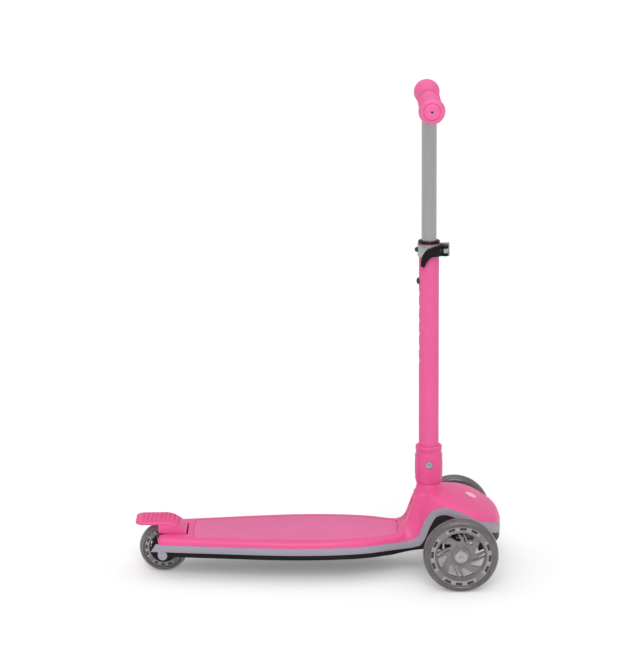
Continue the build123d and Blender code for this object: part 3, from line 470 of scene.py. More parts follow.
# The ridge where the cowl's top turns into its side: share of the half width, then height
ridgeShare = [
    (waistX - 40 * mm, 1.0), (waistX - 24 * mm, 0.985), (waistX - 15 * mm, 0.90), (waistX - 7 * mm, 0.69),
    (waistX + 1 * mm, 0.555), (stemX - 20 * mm, 0.52), (stemX - 9.5 * mm, 0.51), (stemX + 4 * mm, 0.66),
    (stemX + 18 * mm, 0.76), (frontAxle.x - 12 * mm, 0.81), (frontAxle.x + 4 * mm, 0.89),
    (frontAxle.x + 24 * mm, 0.925), (frontAxle.x + 55 * mm, 0.90), (noseX, 0.86),
]
ridgeTop = [
    (waistX - 36 * mm, deckTop), (waistX - 24 * mm, deckTop + 0.6 * mm), (waistX - 15 * mm, deckTop + 5 * mm),
    (waistX - 7 * mm, deckTop + 18 * mm), (waistX + 1 * mm, deckTop + 42 * mm),
    (stemX - 20 * mm, deckTop + 60 * mm), (stemX - 9.5 * mm, deckTop + 64.5 * mm),
    (stemX + 4 * mm, deckTop + 64 * mm), (stemX + 18 * mm, deckTop + 61.5 * mm),
    (frontAxle.x - 12 * mm, deckTop + 58 * mm), (frontAxle.x + 4 * mm, deckTop + 53.5 * mm),
    (frontAxle.x + 24 * mm, deckTop + 45.5 * mm), (frontAxle.x + 40 * mm, deckTop + 38 * mm),
    (frontAxle.x + 55 * mm, deckTop + 31.5 * mm), (frontAxle.x + 64 * mm, deckTop + 25.5 * mm),
    (noseX, deckTop + 17 * mm),
]
crownHeight = [(waistX + 4 * mm, 0.0), (stemX, 2.5 * mm), (frontAxle.x + 24 * mm, 6.5 * mm),
               (noseX, 0.5 * mm)]
panelDepth = [
    (waistX - 20 * mm, 0.0), (waistX - 11 * mm, 3 * mm), (waistX - 4 * mm, 9 * mm),
    (waistX + 4 * mm, 11 * mm), (waistX + 9 * mm, 7 * mm), (waistX + 13 * mm, 0.0),
]
ridgeRound = [(waistX - 40 * mm, 9.5 * mm), (waistX, 7 * mm), (frontAxle.x, 8 * mm), (noseX, 5 * mm)]

shellLook = {
    "wall": 2.6 * mm,
    "bayHalf": 30.5 * mm,
    "faceBulge": 0.9 * mm,
    "padMargin": 15 * mm,
    "padDepth": 1.3 * mm,
    "padGroove": 0.9 * mm,
    "padRear": slotX + 9 * mm,
    "padFront": waistX - 21 * mm,
    "neckRadius": 20.4 * mm,
    "neckBore": 18.7 * mm,
}


def surfaceHeight(x, y):
    # Height of the shell's top at a place inside its ridges
    half = edgeAt(x) * along(ridgeShare, x)
    top = along(ridgeTop, x)
    if half < 1e-6:
        return top
    share = min(abs(y) / half, 1.0)
    height = top + along(crownHeight, x) * (1 - share ** 2)
    return height - along(panelDepth, x) * (1 - easeIn((share - 0.42) / 0.26))


def halfSection(x, roofLimit=None):
    # Points from the middle of the shell's top out to the seam with the band
    edge = edgeAt(x)
    intoCorner = (x - rearEnd) / deckPlan["cornerRound"]
    if intoCorner < 1:
        edge -= deckPlan["cornerRound"] * (1 - math.sqrt(max(1 - (1 - intoCorner) ** 2, 0)))
    top = along(ridgeTop, x)
    corner = Vector((edge * along(ridgeShare, x), top))
    foot = Vector((edge, along(shellSeam, x)))
    face = foot - corner
    reach = min(along(ridgeRound, x), face.length * 0.85)
    inner = max(corner.x - reach, corner.x * 0.45)
    bay = min(shellLook["bayHalf"], inner * (0.8 if x < slotX + 20 * mm else 0.5))
    across = [bay * k / 4 for k in range(4)] + [bay + (inner - bay) * k / 7 for k in range(8)]
    points = [(y, surfaceHeight(x, y)) for y in across]
    start = Vector((inner, surfaceHeight(x, inner)))
    end = corner + face.normalized() * reach
    for step in range(1, 7):
        t = step / 6
        p = (1 - t) ** 2 * start + 2 * t * (1 - t) * corner + t ** 2 * end
        points.append((p.x, p.y))
    outwards = Vector((-face.y, face.x)).normalized()
    if outwards.x < 0:
        outwards = -outwards
    bulge = shellLook["faceBulge"] * min(face.length / (40 * mm), 1)
    for step in range(1, 7):
        t = step / 6
        p = end + (foot - end) * t + outwards * bulge * 4 * t * (1 - t)
        points.append((p.x, p.y))
    if roofLimit is not None:
        points = [(y, min(z, roofLimit)) for y, z in points]
    return points


def fullSection(x, roofLimit=None):
    half = halfSection(x, roofLimit)
    left = [(x, y, z) for y, z in reversed(half)]
    right = [(x, -y, z) for y, z in half[1:]]
    return left + right


def spread(start, end, count):
    return [start + (end - start) * k / count for k in range(count)]


def deckShell():
    seam = shellSeam[0][1]
    rows = [fullSection(rearEnd, seam), fullSection(rearEnd, seam + 5 * mm)]
    rows.append(fullSection(rearEnd + 0.7 * mm, deckTop - 2.2 * mm))
    rows.append(fullSection(rearEnd + 2.4 * mm, deckTop - 0.6 * mm))
    rise, stemBack, tip = waistX - 40 * mm, stemX - 5 * mm, frontAxle.x + 40 * mm
    stations = spread(rearEnd + 5 * mm, slotX, 8) + spread(slotX, rise, 52)
    stations += spread(rise, stemBack, 38) + spread(stemBack, tip, 24)
    stations += [noseX - (noseX - tip) * (1 - k / 24) ** 2 for k in range(24)]
    rows += [fullSection(x) for x in stations]
    noseHeights = halfSection(noseX - 0.02 * mm)
    rows.append([(noseX, 0, z) for _, z in list(reversed(noseHeights)) + noseHeights[1:]])
    shell = gridSkin("deckShell", rows)

    # The wheel's bay between the rear arms is taken out and gets its own walls
    selectFaces(shell, lambda face: face.center.x < slotX and abs(face.center.y) < shellLook["bayHalf"])
    bpy.ops.mesh.delete(type="FACE")
    bpy.ops.mesh.select_mode(type="EDGE")
    bpy.ops.mesh.select_all(action="DESELECT")
    bpy.ops.mesh.select_non_manifold()
    endEdit()
    reach, bayFront, bayRear = shellLook["bayHalf"] + 0.1 * mm, slotX + 0.1 * mm, rearEnd + 0.2 * mm
    for edge in shell.data.edges:
        ends = [shell.data.vertices[i].co for i in edge.vertices]
        inBay = all(abs(p.y) < reach and bayRear < p.x < bayFront for p in ends)
        edge.select = edge.select and inBay
    bpy.ops.object.mode_set(mode="EDIT")
    bpy.ops.mesh.extrude_region_move(TRANSFORM_OT_translate={"value": (0, 0, seam - deckTop)})
    endEdit()
    cleanMesh(shell)
    middleFace = min(shell.data.polygons, key=lambda f: (f.center - Vector((0, 0, deckTop))).length)
    if middleFace.normal.z < 0:
        shell.data.flip_normals()
    modify(shell, "SOLIDIFY", thickness=shellLook["wall"], offset=-1, use_even_offset=True)

    # Neck around the stem
    r, bore = shellLook["neckRadius"], shellLook["neckBore"]
    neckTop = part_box("deck_shell")[1].z
    base = deckTop + 58 * mm
    profile = [(bore, base - 8 * mm), (r + 5 * mm, base - 8 * mm), (r + 3.6 * mm, base + 4 * mm),
               (r + 1.4 * mm, base + 6.4 * mm), (r + 0.5 * mm, base + 8.8 * mm),
               (r - 0.1 * mm, base + 12 * mm),
               (r - 0.8 * mm, neckTop - 0.5 * mm), (r - 1.2 * mm, neckTop), (bore, neckTop)]
    neck = turned("neck", profile, (stemX, 0, 0), "Z", 96)
    combine(shell, neck, "UNION")
    bpy.ops.mesh.primitive_cylinder_add(vertices=96, radius=bore, depth=120 * mm,
                                        location=(stemX, 0, 100 * mm))
    combine(shell, bpy.context.object)
    bpy.ops.mesh.primitive_cube_add(size=1, location=(stemX + r + 0.4 * mm, 0, base + 3.5 * mm))
    bpy.context.object.scale = (3.4 * mm, 5.6 * mm, 7 * mm)
    combine(shell, bpy.context.object)

    # Seat for the deck pad
    seat = slabUp("padSeat", padOutline(0), deckTop - shellLook["padDepth"], deckTop + 3 * mm)
    combine(shell, seat)
    return finish(shell, "deck", "pink_shell", "deck_shell", smoothAngle=38)


def cornerFall(fromEnd, corner):
    return corner * (1 - math.sqrt(1 - (1 - fromEnd / corner) ** 2))


def padOutline(inset):
    x0 = shellLook["padRear"] + inset
    x1 = shellLook["padFront"] - inset
    margin = shellLook["padMargin"] + inset
    side = [(x, edgeAt(x) - margin) for x in spread(x0, x1, 30)] + [(x1, edgeAt(x1) - margin)]
    corner = 7 * mm
    left = []
    for x, y in side:
        fromEnd = min(x - x0, x1 - x)
        if fromEnd < corner:
            y -= cornerFall(fromEnd, corner)
        left.append((x, y))
    extra = []
    for x in [x0 + corner * t for t in (0.02, 0.08, 0.2, 0.4, 0.7)]:
        for place in (x, x0 + x1 - x):
            fromEnd = min(place - x0, x1 - place)
            extra.append((place, edgeAt(place) - margin - cornerFall(fromEnd, corner)))
    left = sorted(left + extra)
    return left + [(x, -y) for x, y in reversed(left)]


def deckPad():
    pad = slabUp("deckPad", padOutline(shellLook["padGroove"]), deckTop - shellLook["padDepth"] + 0.05 * mm,
                 deckTop)
    soften(pad, 0.5 * mm, 3, 60)
    return finish(pad, "deck", "pink_pad", "deck_pad")


# Band around the deck, its rear horns and the tabs that hide the rear axle
bandLook = {"thick": 5 * mm, "edge": 0.7 * mm, "hornTop": 4 * mm, "hornFoot": 11.5 * mm,
            "tabRadius": 7.6 * mm}


def bandStation(x, y, inward, back=0.0):
    top = along(shellSeam, x) - 0.1 * mm
    low = along(traySeam, x)
    edge, thick = bandLook["edge"], bandLook["thick"]
    loop = []
    for out, z in ((0, low + edge), (0, (low + top) / 2), (0, top - edge), (edge * 0.7, top), (thick, top),
                   (thick, (low + top) / 2), (thick, low), (edge * 0.7, low)):
        rake = bandLook["hornFoot"] - bandLook["hornTop"]
        shift = -back * (bandLook["hornTop"] + rake * (top - z) / (top - low))
        loop.append((x + inward.x * out + shift, y + inward.y * out, z))
    return loop + loop[:1]


def sideBand():
    rows = []
    straight = Vector((0, -1))
    for back in (1.0, 0.94, 0.5):
        rows.append(bandStation(rearEnd, deckPlan["halfRear"], straight, back))
    line = edgeLine[::4]
    if (line[-1] - edgeLine[-1]).length > 1e-6:
        line.append(edgeLine[-1])
    for index, point in enumerate(line):
        before = line[max(index - 1, 0)]
        after = line[index + 1] if index + 1 < len(line) else Vector((point.x, -line[index - 1].y))
        run = (after - before).normalized()
        rows.append(bandStation(point.x, point.y, Vector((run.y, -run.x))))
    mirrored = [[(x, -y, z) for x, y, z in row] for row in reversed(rows[:-1])]
    band = gridSkin("sideBand", rows + mirrored)
    editAll(band)
    bpy.ops.mesh.remove_doubles(threshold=0.01 * mm)
    bpy.ops.mesh.select_all(action="DESELECT")
    bpy.ops.mesh.select_mode(type="EDGE")
    bpy.ops.mesh.select_non_manifold()
    bpy.ops.mesh.edge_face_add()
    endEdit()
    cleanMesh(band)
    r = bandLook["tabRadius"]
    seam = traySeam[0][1]
    for side in (1, -1):
        half = [(r * math.cos(a), r * math.sin(a)) for a in [-math.pi * k / 24 for k in range(25)]]
        outlineTab = [(rearAxle.x + x, rearAxle.z + z) for x, z in half]
        outlineTab += [(rearAxle.x - r, seam - 1 * mm), (rearAxle.x - r - 3 * mm, seam + 3 * mm),
                       (rearAxle.x + r + 3 * mm, seam + 3 * mm), (rearAxle.x + r, seam - 1 * mm)]
        outer = side * (deckPlan["halfRear"] + 0.6 * mm)
        tab = slabAcross("axleTab", outlineTab, min(outer, outer - side * 6 * mm),
                         max(outer, outer - side * 6 * mm))
        soften(tab, 0.8 * mm, 3, 50)
        combine(band, tab, "UNION")
    return finish(band, "deck", "lilac_plastic", "side_band", smoothAngle=40)


badgeLook = {
    "aheadOfAxle": 22 * mm,
    "halfLong": 8.6 * mm,
    "halfWide": 9.2 * mm,
    "corners": 48,
    "blankThick": 10 * mm,
    "sink": 1.0 * mm,
    "stand": 1.1 * mm,
}


def badge():
    x = frontAxle.x + badgeLook["aheadOfAxle"]
    corners, blank = badgeLook["corners"], badgeLook["blankThick"]
    turns = [2 * math.pi * k / corners for k in range(corners)]
    ring = [(x + badgeLook["halfLong"] * math.cos(a), badgeLook["halfWide"] * math.sin(a)) for a in turns]
    low = deckTop + 20 * mm
    plate = slabUp("cowlBadge", ring, low, low + blank)
    selectFaces(plate, lambda face: face.normal.z > 0.9)
    for width, lift in ((0.9 * mm, 0), (0.35 * mm, -0.5 * mm), (4.4 * mm, 0), (0.3 * mm, 0.35 * mm)):
        bpy.ops.mesh.inset(thickness=width, depth=lift)
    endEdit()
    for vertex in plate.data.vertices:
        height = surfaceHeight(vertex.co.x, vertex.co.y)
        if vertex.co.z < low + 1 * mm:
            vertex.co.z = height - badgeLook["sink"]
        else:
            vertex.co.z = height + badgeLook["stand"] + (vertex.co.z - low - blank)
    return finish(plate, "deck", "badge", "cowl_badge")


deckShell()
deckPad()
sideBand()
badge()

# More ways of making shapes, for the running gear and the stem

def turnedPart(name, profile, centre, startAngle, sweep, steps=24):
    # The profile of (radius, height) is spun only part of the way round the upright axis
    c, s = math.cos(startAngle), math.sin(startAngle)
    obj = ringOf(name, [(centre[0] + r * c, centre[1] + r * s, centre[2] + h) for r, h in profile])
    editAll(obj)
    bpy.ops.mesh.spin(steps=steps, angle=-sweep, center=centre, axis=(0, 0, 1))
    return capOpenings(obj)


def closedSkin(name, rows):
    # Rows are closed loops; the skin is wrapped round and its two ends are filled
    obj = gridSkin(name, [list(row) + [row[0]] for row in rows])
    editAll(obj)
    bpy.ops.mesh.remove_doubles(threshold=0.005 * mm)
    return capOpenings(obj)


def flaredCutter(name, outline, middleY, half, flare):
    # Cuts straight through and leaves a small chamfer on both faces
    cx = sum(p[0] for p in outline) / len(outline)
    cz = sum(p[1] for p in outline) / len(outline)
    reach = max(math.hypot(p[0] - cx, p[1] - cz) for p in outline)
    rows = []
    for offset, grow in ((-half - 2 * mm, 3 * flare), (-half, flare), (-half + flare, 0), (half - flare, 0),
                         (half, flare), (half + 2 * mm, 3 * flare)):
        k = 1 + grow / reach
        rows.append([(cx + (x - cx) * k, middleY + offset, cz + (z - cz) * k) for x, z in outline])
    return closedSkin(name, rows)


def softCopy(node, body, slotName, width, angle=30):
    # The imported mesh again, merged, with its sharp edges eased
    source = nodes[node]
    twin = source.copy()
    twin.data = source.data.copy()
    twin.parent = None
    twin.matrix_world = source.matrix_world.copy()
    bpy.context.collection.objects.link(twin)
    parts = node.split("_")
    twin.name = parts[0] + "".join(part.title() for part in parts[1:])
    pick(twin)
    bpy.ops.object.transform_apply(location=True, rotation=True, scale=True)
    cleanMesh(twin, 0.02 * mm)
    editAll(twin, "FACE")
    bpy.ops.mesh.dissolve_limited(angle_limit=math.radians(0.6))
    endEdit()
    soften(twin, width, 2, angle)
    return finish(twin, body, slotName, node)


# Wheels
frontLook = {
    "outer": 60 * mm,
    "rim": 49.5 * mm,
    "ringInner": 39 * mm,
    "half": 12 * mm,
    "hubRadius": 14.8 * mm,
    "hubBore": 11.03 * mm,
    "hubHalf": 8 * mm,
    "webHalf": 3 * mm,
    "ringHalf": 9.6 * mm,
    "lightIn": 41.6 * mm,
    "lightOut": 48.4 * mm,
    "lightArc": 72,
    "lightTurn": 4,
    "windowLong": 10.5 * mm,
    "windowHigh": 4.2 * mm,
    "windowTurn": 23,
    "chamfer": 0.8 * mm,
}
rearLook = dict(frontLook, outer=40 * mm, rim=31.5 * mm, ringInner=23.5 * mm, lightIn=24.8 * mm,
                lightOut=30.6 * mm,
                windowLong=6.8 * mm, windowHigh=3.4 * mm, chamfer=0.5 * mm)
# Openings of one quarter of the web: share of the way out and angle from the top
webOpenings = [
    [(1.0, 6.5), (1.0, 15), (1.0, 24), (1.0, 33), (0.70, 38), (0.45, 45), (0.31, 46), (0.25, 41),
     (0.28, 34), (0.45, 26), (0.70, 15)],
    [(1.0, -36), (1.0, -27), (1.0, -18), (1.0, -9), (0.70, -6.5), (0.42, -1), (0.30, -3), (0.28, -11),
     (0.42, -20), (0.70, -28)],
    [(1.0, -6), (1.0, -1.5), (1.0, 3), (0.62, 11), (0.30, 22), (0.14, 28), (0.09, 25), (0.14, 22),
     (0.30, 16), (0.62, 5)],
]


def wheelTyre(label, body, centre, look):
    outer, rim, half = look["outer"], look["rim"], look["half"]
    drop = outer - rim
    sideLine = [(rim, half * 0.80), (rim + 0.10 * drop, half * 0.90), (rim + 0.22 * drop, half * 0.97),
                (rim + 0.42 * drop, half * 0.995), (rim + 0.60 * drop, half * 0.94),
                (rim + 0.76 * drop, half * 0.81),
                (rim + 0.88 * drop, half * 0.62), (rim + 0.96 * drop, half * 0.36), (outer, half * 0.10)]
    profile = sideLine + [(r, -d) for r, d in reversed(sideLine)]
    tyre = turned(label + "Tyre", profile, centre, steps=144)
    return finish(tyre, body, "smoky_tyre", label + "_tyre", smoothAngle=50)


def wheelCore(label, body, centre, look, swirl):
    inner, rim, hub = look["ringInner"], look["rim"], look["hubRadius"]
    web, ringHalf, hubHalf = look["webHalf"], look["ringHalf"], look["hubHalf"]
    step = 0.5 * mm
    sideLine = [
        (look["hubBore"], hubHalf - step), (look["hubBore"] + step, hubHalf), (12.3 * mm, hubHalf),
        (12.7 * mm, hubHalf - 0.7 * mm), (13.4 * mm, hubHalf - 0.7 * mm), (13.8 * mm, hubHalf - 0.1 * mm),
        (hub - step, hubHalf - 0.1 * mm), (hub, hubHalf - 2 * step), (hub + step, web + step),
        (hub + 3 * step, web),
        (inner - 2 * step, web), (inner - step, web + step), (inner - 0.4 * step, ringHalf - step),
        (inner + 0.4 * step, ringHalf + step), (inner + 1.8 * step, ringHalf + step),
        (look["lightIn"] - 2 * step, ringHalf), (look["lightIn"] - step, ringHalf - step),
        (look["lightOut"], ringHalf - step), (look["lightOut"] + 0.3 * step, ringHalf),
        (rim - 0.02 * mm, ringHalf),
    ]
    profile = sideLine + [(r, -d) for r, d in reversed(sideLine)]
    core = turned(label + "Core", profile, centre, steps=144)
    cutters = []
    for opening in webOpenings:
        corners = []
        for share, angle in opening:
            radius = hub + step * 3 + share * (inner - step * 3 - hub - step * 3)
            turn = math.radians(angle)
            corners.append((radius * math.sin(turn), radius * math.cos(turn)))
        smooth = roundedOutline(corners, 1.6 * mm, 3)
        for quarter in range(4):
            c, s = math.cos(quarter * math.pi / 2), math.sin(quarter * math.pi / 2)
            placed = [(centre[0] + swirl * (x * c + z * s), centre[2] + z * c - x * s) for x, z in smooth]
            cutters.append(flaredCutter("webCutter", placed, centre[1], web, look["chamfer"]))
    joinTo(*cutters)
    combine(core, cutters[0])
    return finish(core, body, "smoky_core", label + "_core", smoothAngle=28)


def wheelLights(label, body, centre, look, swirl):
    strips = []
    windows = []
    low, high = look["lightIn"], look["lightOut"]
    face, step = look["ringHalf"], 0.35 * mm
    middleRadius = (low + high) / 2 + 0.6 * mm
    for side in (1, -1):
        for quarter in range(4):
            turn = math.radians(look["lightTurn"] + 90 * quarter)
            rows = []
            for k in range(25):
                a = turn + math.radians(look["lightArc"]) * (k / 24 - 0.5)
                loop = []
                for r, d in ((low, face - 2 * step), (low, face), (low + step, face + step),
                             (high - step, face + step),
                             (high, face), (high, face - 2 * step)):
                    loop.append((centre[0] + swirl * r * math.sin(a), centre[1] + side * d,
                                 centre[2] + r * math.cos(a)))
                rows.append(loop)
            strips.append(closedSkin("lightStrip", rows))
            for shift in (-look["windowTurn"], 0, look["windowTurn"]):
                a = turn + math.radians(shift)
                deselectAll()
                bpy.ops.mesh.primitive_cube_add(size=1)
                window = bpy.context.object
                window.name = "lightWindow"
                window.data.transform(Matrix.Diagonal((look["windowLong"], 0.8 * mm, look["windowHigh"], 1)))
                soften(window, 0.3 * mm, 2)
                window.data.transform(Matrix.Rotation(swirl * a, 4, "Y"))
                window.data.transform(Matrix.Translation((
                    centre[0] + swirl * middleRadius * math.sin(a), centre[1] + side * (face + step),
                    centre[2] + middleRadius * math.cos(a))))
                windows.append(window)
    joinTo(*strips)
    strips[0].name = label + "LightStrips"
    finish(strips[0], body, "led", label + "_leds")
    joinTo(*windows)
    windows[0].name = label + "LightWindows"
    finish(windows[0], body, "led", material=lightWindow)


lightWindow = mouldedPlastic("lightWindow", (0.016, 0.014, 0.016), (0.03, 0.027, 0.03), (0.16, 0.24))
for label, body, look in (("left", "left_wheel", frontLook), ("right", "right_wheel", frontLook),
                          ("rear", "rear_wheel", rearLook)):
    centre = tuple(middle(label + "_tyre"))
    swirl = -1 if label == "left" else 1
    wheelTyre(label, body, centre, look)
    wheelCore(label, body, centre, look, swirl)
    wheelLights(label, body, centre, look, swirl)
softCopy("left_axle", "left_hub", "steel", 0.7 * mm)
softCopy("right_axle", "right_hub", "steel", 0.7 * mm)
print("wheels made")


# Brake pedal with its tread
pedalLook = {
    "half": 29 * mm,
    "rear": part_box("brake_pedal")[0].x,
    "top": 88.5 * mm,
    "plate": 4.6 * mm,
    "cornerRound": 13 * mm,
    "crossCut": 2.5 * mm,
    "lugRadius": 4.2 * mm,
    "skirt": 3 * mm,
    "barLong": 5.2 * mm,
    "barWide": 1.5 * mm,
    "barHigh": 0.9 * mm,
    "barSlant": -38,
    "rowPitch": 7 * mm,
    "columnPitch": 10 * mm,
}
pedalTop = [
    (rearAxle.x + 5 * mm, 0.0), (rearAxle.x + 14 * mm, -1.8 * mm), (rearAxle.x + 24 * mm, -7.2 * mm),
    (rearAxle.x + 32 * mm, -13 * mm), (slotX - 2 * mm, -17 * mm),
]


def brakePedal():
    half, rear, top = pedalLook["half"], pedalLook["rear"], pedalLook["top"]
    front, reach, lugRadius = slotX - 2 * mm, pedalLook["cornerRound"], pedalLook["lugRadius"]
    arc = []
    for a in [math.pi / 2 * k / 8 for k in range(9)]:
        arc.append((rear + reach * (1 - math.sin(a)), half - reach * (1 - math.cos(a))))
    ring = [(front, half)] + arc + [(x, -y) for x, y in reversed(arc)] + [(front, -half)]
    plate = slabUp("brakePedal", ring, top - pedalLook["plate"], top)
    soften(plate, 1.7 * mm, 4, 40)
    x = rearAxle.x
    while x < front - 1 * mm:
        editAll(plate, "FACE")
        bpy.ops.mesh.bisect(plane_co=(x, 0, 0), plane_no=(1, 0, 0))
        endEdit()
        x += pedalLook["crossCut"]
    for vertex in plate.data.vertices:
        vertex.co.z += along(pedalTop, vertex.co.x)
    for side in (1, -1):
        lug = [(hingeX + lugRadius * math.cos(a), hingeZ + lugRadius * math.sin(a))
               for a in [-math.pi * k / 10 for k in range(11)]]
        skirt = lug + [(rearAxle.x - 6 * mm, 71 * mm), (rearAxle.x - 7.5 * mm, 74 * mm),
                       (rearAxle.x - 7.5 * mm, top - 3 * mm)]
        skirt += [(x * mm, top - 3 * mm + along(pedalTop, x * mm)) for x in range(-244, -212, 4)]
        skirt += [(slotX - 2.5 * mm, 69.5 * mm)]
        outer, inner = side * (half - 0.01 * mm), side * (half - pedalLook["skirt"])
        panel = slabAcross("pedalSkirt", skirt, min(outer, inner), max(outer, inner))
        soften(panel, 0.6 * mm, 2, 35)
        combine(plate, panel, "UNION")
    finish(plate, "pedal", "pink_shell", "brake_pedal", smoothAngle=30)


def pedalTread():
    deselectAll()
    bpy.ops.mesh.primitive_cube_add(size=1)
    bar = bpy.context.object
    size = (pedalLook["barLong"], pedalLook["barWide"], pedalLook["barHigh"] + 0.6 * mm, 1)
    bar.data.transform(Matrix.Diagonal(size))
    soften(bar, 0.4 * mm, 2)
    bars = []
    rows = int((slotX - 14 * mm - pedalLook["rear"] - 12 * mm) / pedalLook["rowPitch"])
    for row in range(rows + 1):
        x = pedalLook["rear"] + 13 * mm + row * pedalLook["rowPitch"]
        slope = (along(pedalTop, x + 1 * mm) - along(pedalTop, x - 1 * mm)) / (2 * mm)
        lift = pedalLook["top"] + along(pedalTop, x) + pedalLook["barHigh"] / 2 - 0.3 * mm
        for column in range(-2, 3):
            for lean in (1, -1):
                place = (x, column * pedalLook["columnPitch"] + lean * 1.7 * mm, lift)
                slant = Matrix.Rotation(lean * math.radians(pedalLook["barSlant"]), 4, "Z")
                turn = Matrix.Rotation(-math.atan(slope), 4, "Y") @ slant
                bars.append(copyTurned(bar, Matrix.Translation(place) @ turn, "treadBar"))
    bpy.data.objects.remove(bar)
    joinTo(*bars)
    bars[0].name = "pedalTread"
    finish(bars[0], "pedal", "pink_shell")


brakePedal()
pedalTread()


# Handlebar grips and the cover between them
gripLook = {
    "bore": 11.02 * mm,
    "innerGap": 17 * mm,
    "ribPitch": 3.2 * mm,
    "ribLow": 15.7 * mm,
    "ribHigh": 16.8 * mm,
}


def grip(label, side):
    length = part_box("grip_left")[1].y - gripLook["innerGap"]
    flange = length - 16 * mm
    low, high, pitch = gripLook["ribLow"], gripLook["ribHigh"], gripLook["ribPitch"]
    profile = [(gripLook["bore"], 0.0), (17.4 * mm, 0.0), (18.1 * mm, 0.7 * mm), (18.1 * mm, 2.9 * mm),
               (17.5 * mm, 3.6 * mm), (low, 4.4 * mm)]
    place = 5.2 * mm
    while place < flange - 6.5 * mm:
        profile += [(low, place), (high - 0.15 * mm, place + 0.22 * pitch), (high, place + 0.38 * pitch),
                    (high - 0.15 * mm, place + 0.54 * pitch), (low, place + 0.76 * pitch)]
        place += pitch
    profile += [(low, flange - 5 * mm), (17 * mm, flange - 2.5 * mm), (19.2 * mm, flange - 0.5 * mm),
                (20.4 * mm, flange + 1.5 * mm), (20.75 * mm, flange + 4 * mm), (20.3 * mm, flange + 7 * mm),
                (18.8 * mm, flange + 9.8 * mm), (16.6 * mm, flange + 11.6 * mm),
                (14.4 * mm, flange + 12.4 * mm),
                (13.7 * mm, flange + 12.3 * mm), (13.2 * mm, flange + 11.6 * mm),
                (12.7 * mm, flange + 11.8 * mm),
                (12.4 * mm, flange + 13.6 * mm), (11.9 * mm, flange + 14.9 * mm),
                (10.5 * mm, flange + 15.6 * mm), (6 * mm, length), (2 * mm, length),
                (1.8 * mm, length - 0.4 * mm),
                (1.8 * mm, length - 6 * mm), (gripLook["bore"], length - 6.9 * mm)]
    centre = (stemX, side * gripLook["innerGap"], barZ)
    obj = turned("grip" + label.title(), profile, centre, steps=96, flip=side)
    finish(obj, "handlebar", "pink_grip", "grip_" + label, smoothAngle=45)


def teeCover():
    barrel = turned("teeCover", [(10.9 * mm, -16.9 * mm), (15.0 * mm, -16.9 * mm), (15.5 * mm, -16.3 * mm),
                                 (15.7 * mm, -8 * mm), (15.75 * mm, 0), (15.7 * mm, 8 * mm),
                                 (15.5 * mm, 16.3 * mm),
                                 (15.0 * mm, 16.9 * mm), (10.9 * mm, 16.9 * mm)], (stemX, 0, barZ), steps=96)
    socket = turned("teeSocket", [(12.02 * mm, -26.9 * mm), (13.8 * mm, -26.9 * mm), (14.35 * mm, -26.2 * mm),
                                  (14.5 * mm, -12 * mm), (14.5 * mm, -3 * mm), (12.02 * mm, -3 * mm)],
                    (stemX, 0, barZ), "Z", steps=90)
    combine(barrel, socket, "UNION")
    bore = turned("teeBore", [(0.5 * mm, -30 * mm), (11.02 * mm, -30 * mm), (11.02 * mm, 30 * mm),
                              (0.5 * mm, 30 * mm)],
                  (stemX, 0, barZ), steps=96)
    combine(barrel, bore)
    finish(barrel, "handlebar", "pink_grip", "tee_cover", smoothAngle=40)


grip("left", 1)
grip("right", -1)
teeCover()


# Collar at the foot of the stem
collarLook = {"low": 144 * mm, "top": 208 * mm, "neckRadius": 18.47 * mm, "tubeRadius": 16.06 * mm,
              "step": 192.4 * mm}


def lockCollar():
    low, top = collarLook["low"], collarLook["top"]
    profile = [(collarLook["neckRadius"], low), (19.2 * mm, low), (19.6 * mm, low + 0.6 * mm),
               (20.2 * mm, low + 1.6 * mm),
               (21.3 * mm, low + 6 * mm), (22.1 * mm, low + 13 * mm), (22.5 * mm, low + 22 * mm),
               (22.5 * mm, low + 34 * mm),
               (22.0 * mm, low + 44 * mm), (20.9 * mm, low + 52 * mm), (20.4 * mm, low + 55.6 * mm),
               (20.7 * mm, low + 56.4 * mm), (21.25 * mm, low + 57.2 * mm), (21.3 * mm, top - 2.4 * mm),
               (20.9 * mm, top - 1 * mm), (20.0 * mm, top - 0.2 * mm), (19.2 * mm, top),
               (collarLook["tubeRadius"], top), (collarLook["tubeRadius"], collarLook["step"]),
               (collarLook["neckRadius"], collarLook["step"])]
    collar = turned("lockCollar", profile, (stemX, 0, 0), "Z", steps=120)
    pocket = turned("screwPocket", [(0.3 * mm, -19.8 * mm), (6.4 * mm, -19.8 * mm), (6.4 * mm, -30 * mm),
                                    (0.3 * mm, -30 * mm)], (stemX, 0, 179 * mm), steps=48)
    combine(collar, pocket)
    nutPocket = turned("nutPocket", [(0.3 * mm, 19.8 * mm), (6.2 * mm, 19.8 * mm), (6.2 * mm, 30 * mm),
                                     (0.3 * mm, 30 * mm)], (stemX, 0, 179 * mm), steps=48)
    combine(collar, nutPocket)
    finish(collar, "deck", "pink_shell", "lock_collar", smoothAngle=35)
    lips = []
    for height, radius in ((191 * mm, 21.6 * mm), (152 * mm, 21.2 * mm)):
        for start in (-1, 1):
            lip = turnedPart("collarLip", [(radius - 1.5 * mm, -0.9 * mm), (radius + 0.1 * mm, -0.9 * mm),
                                           (radius + 1.0 * mm, 0), (radius + 0.1 * mm, 0.9 * mm),
                                           (radius - 1.5 * mm, 0.9 * mm)],
                             (stemX, 0, height), start * math.radians(90) + math.radians(50),
                             math.radians(100))
            lips.append(lip)
    joinTo(*lips)
    lips[0].name = "collarLips"
    finish(lips[0], "deck", "pink_shell")


lockCollar()
softCopy("lock_screw", "deck", "steel", 0.5 * mm)


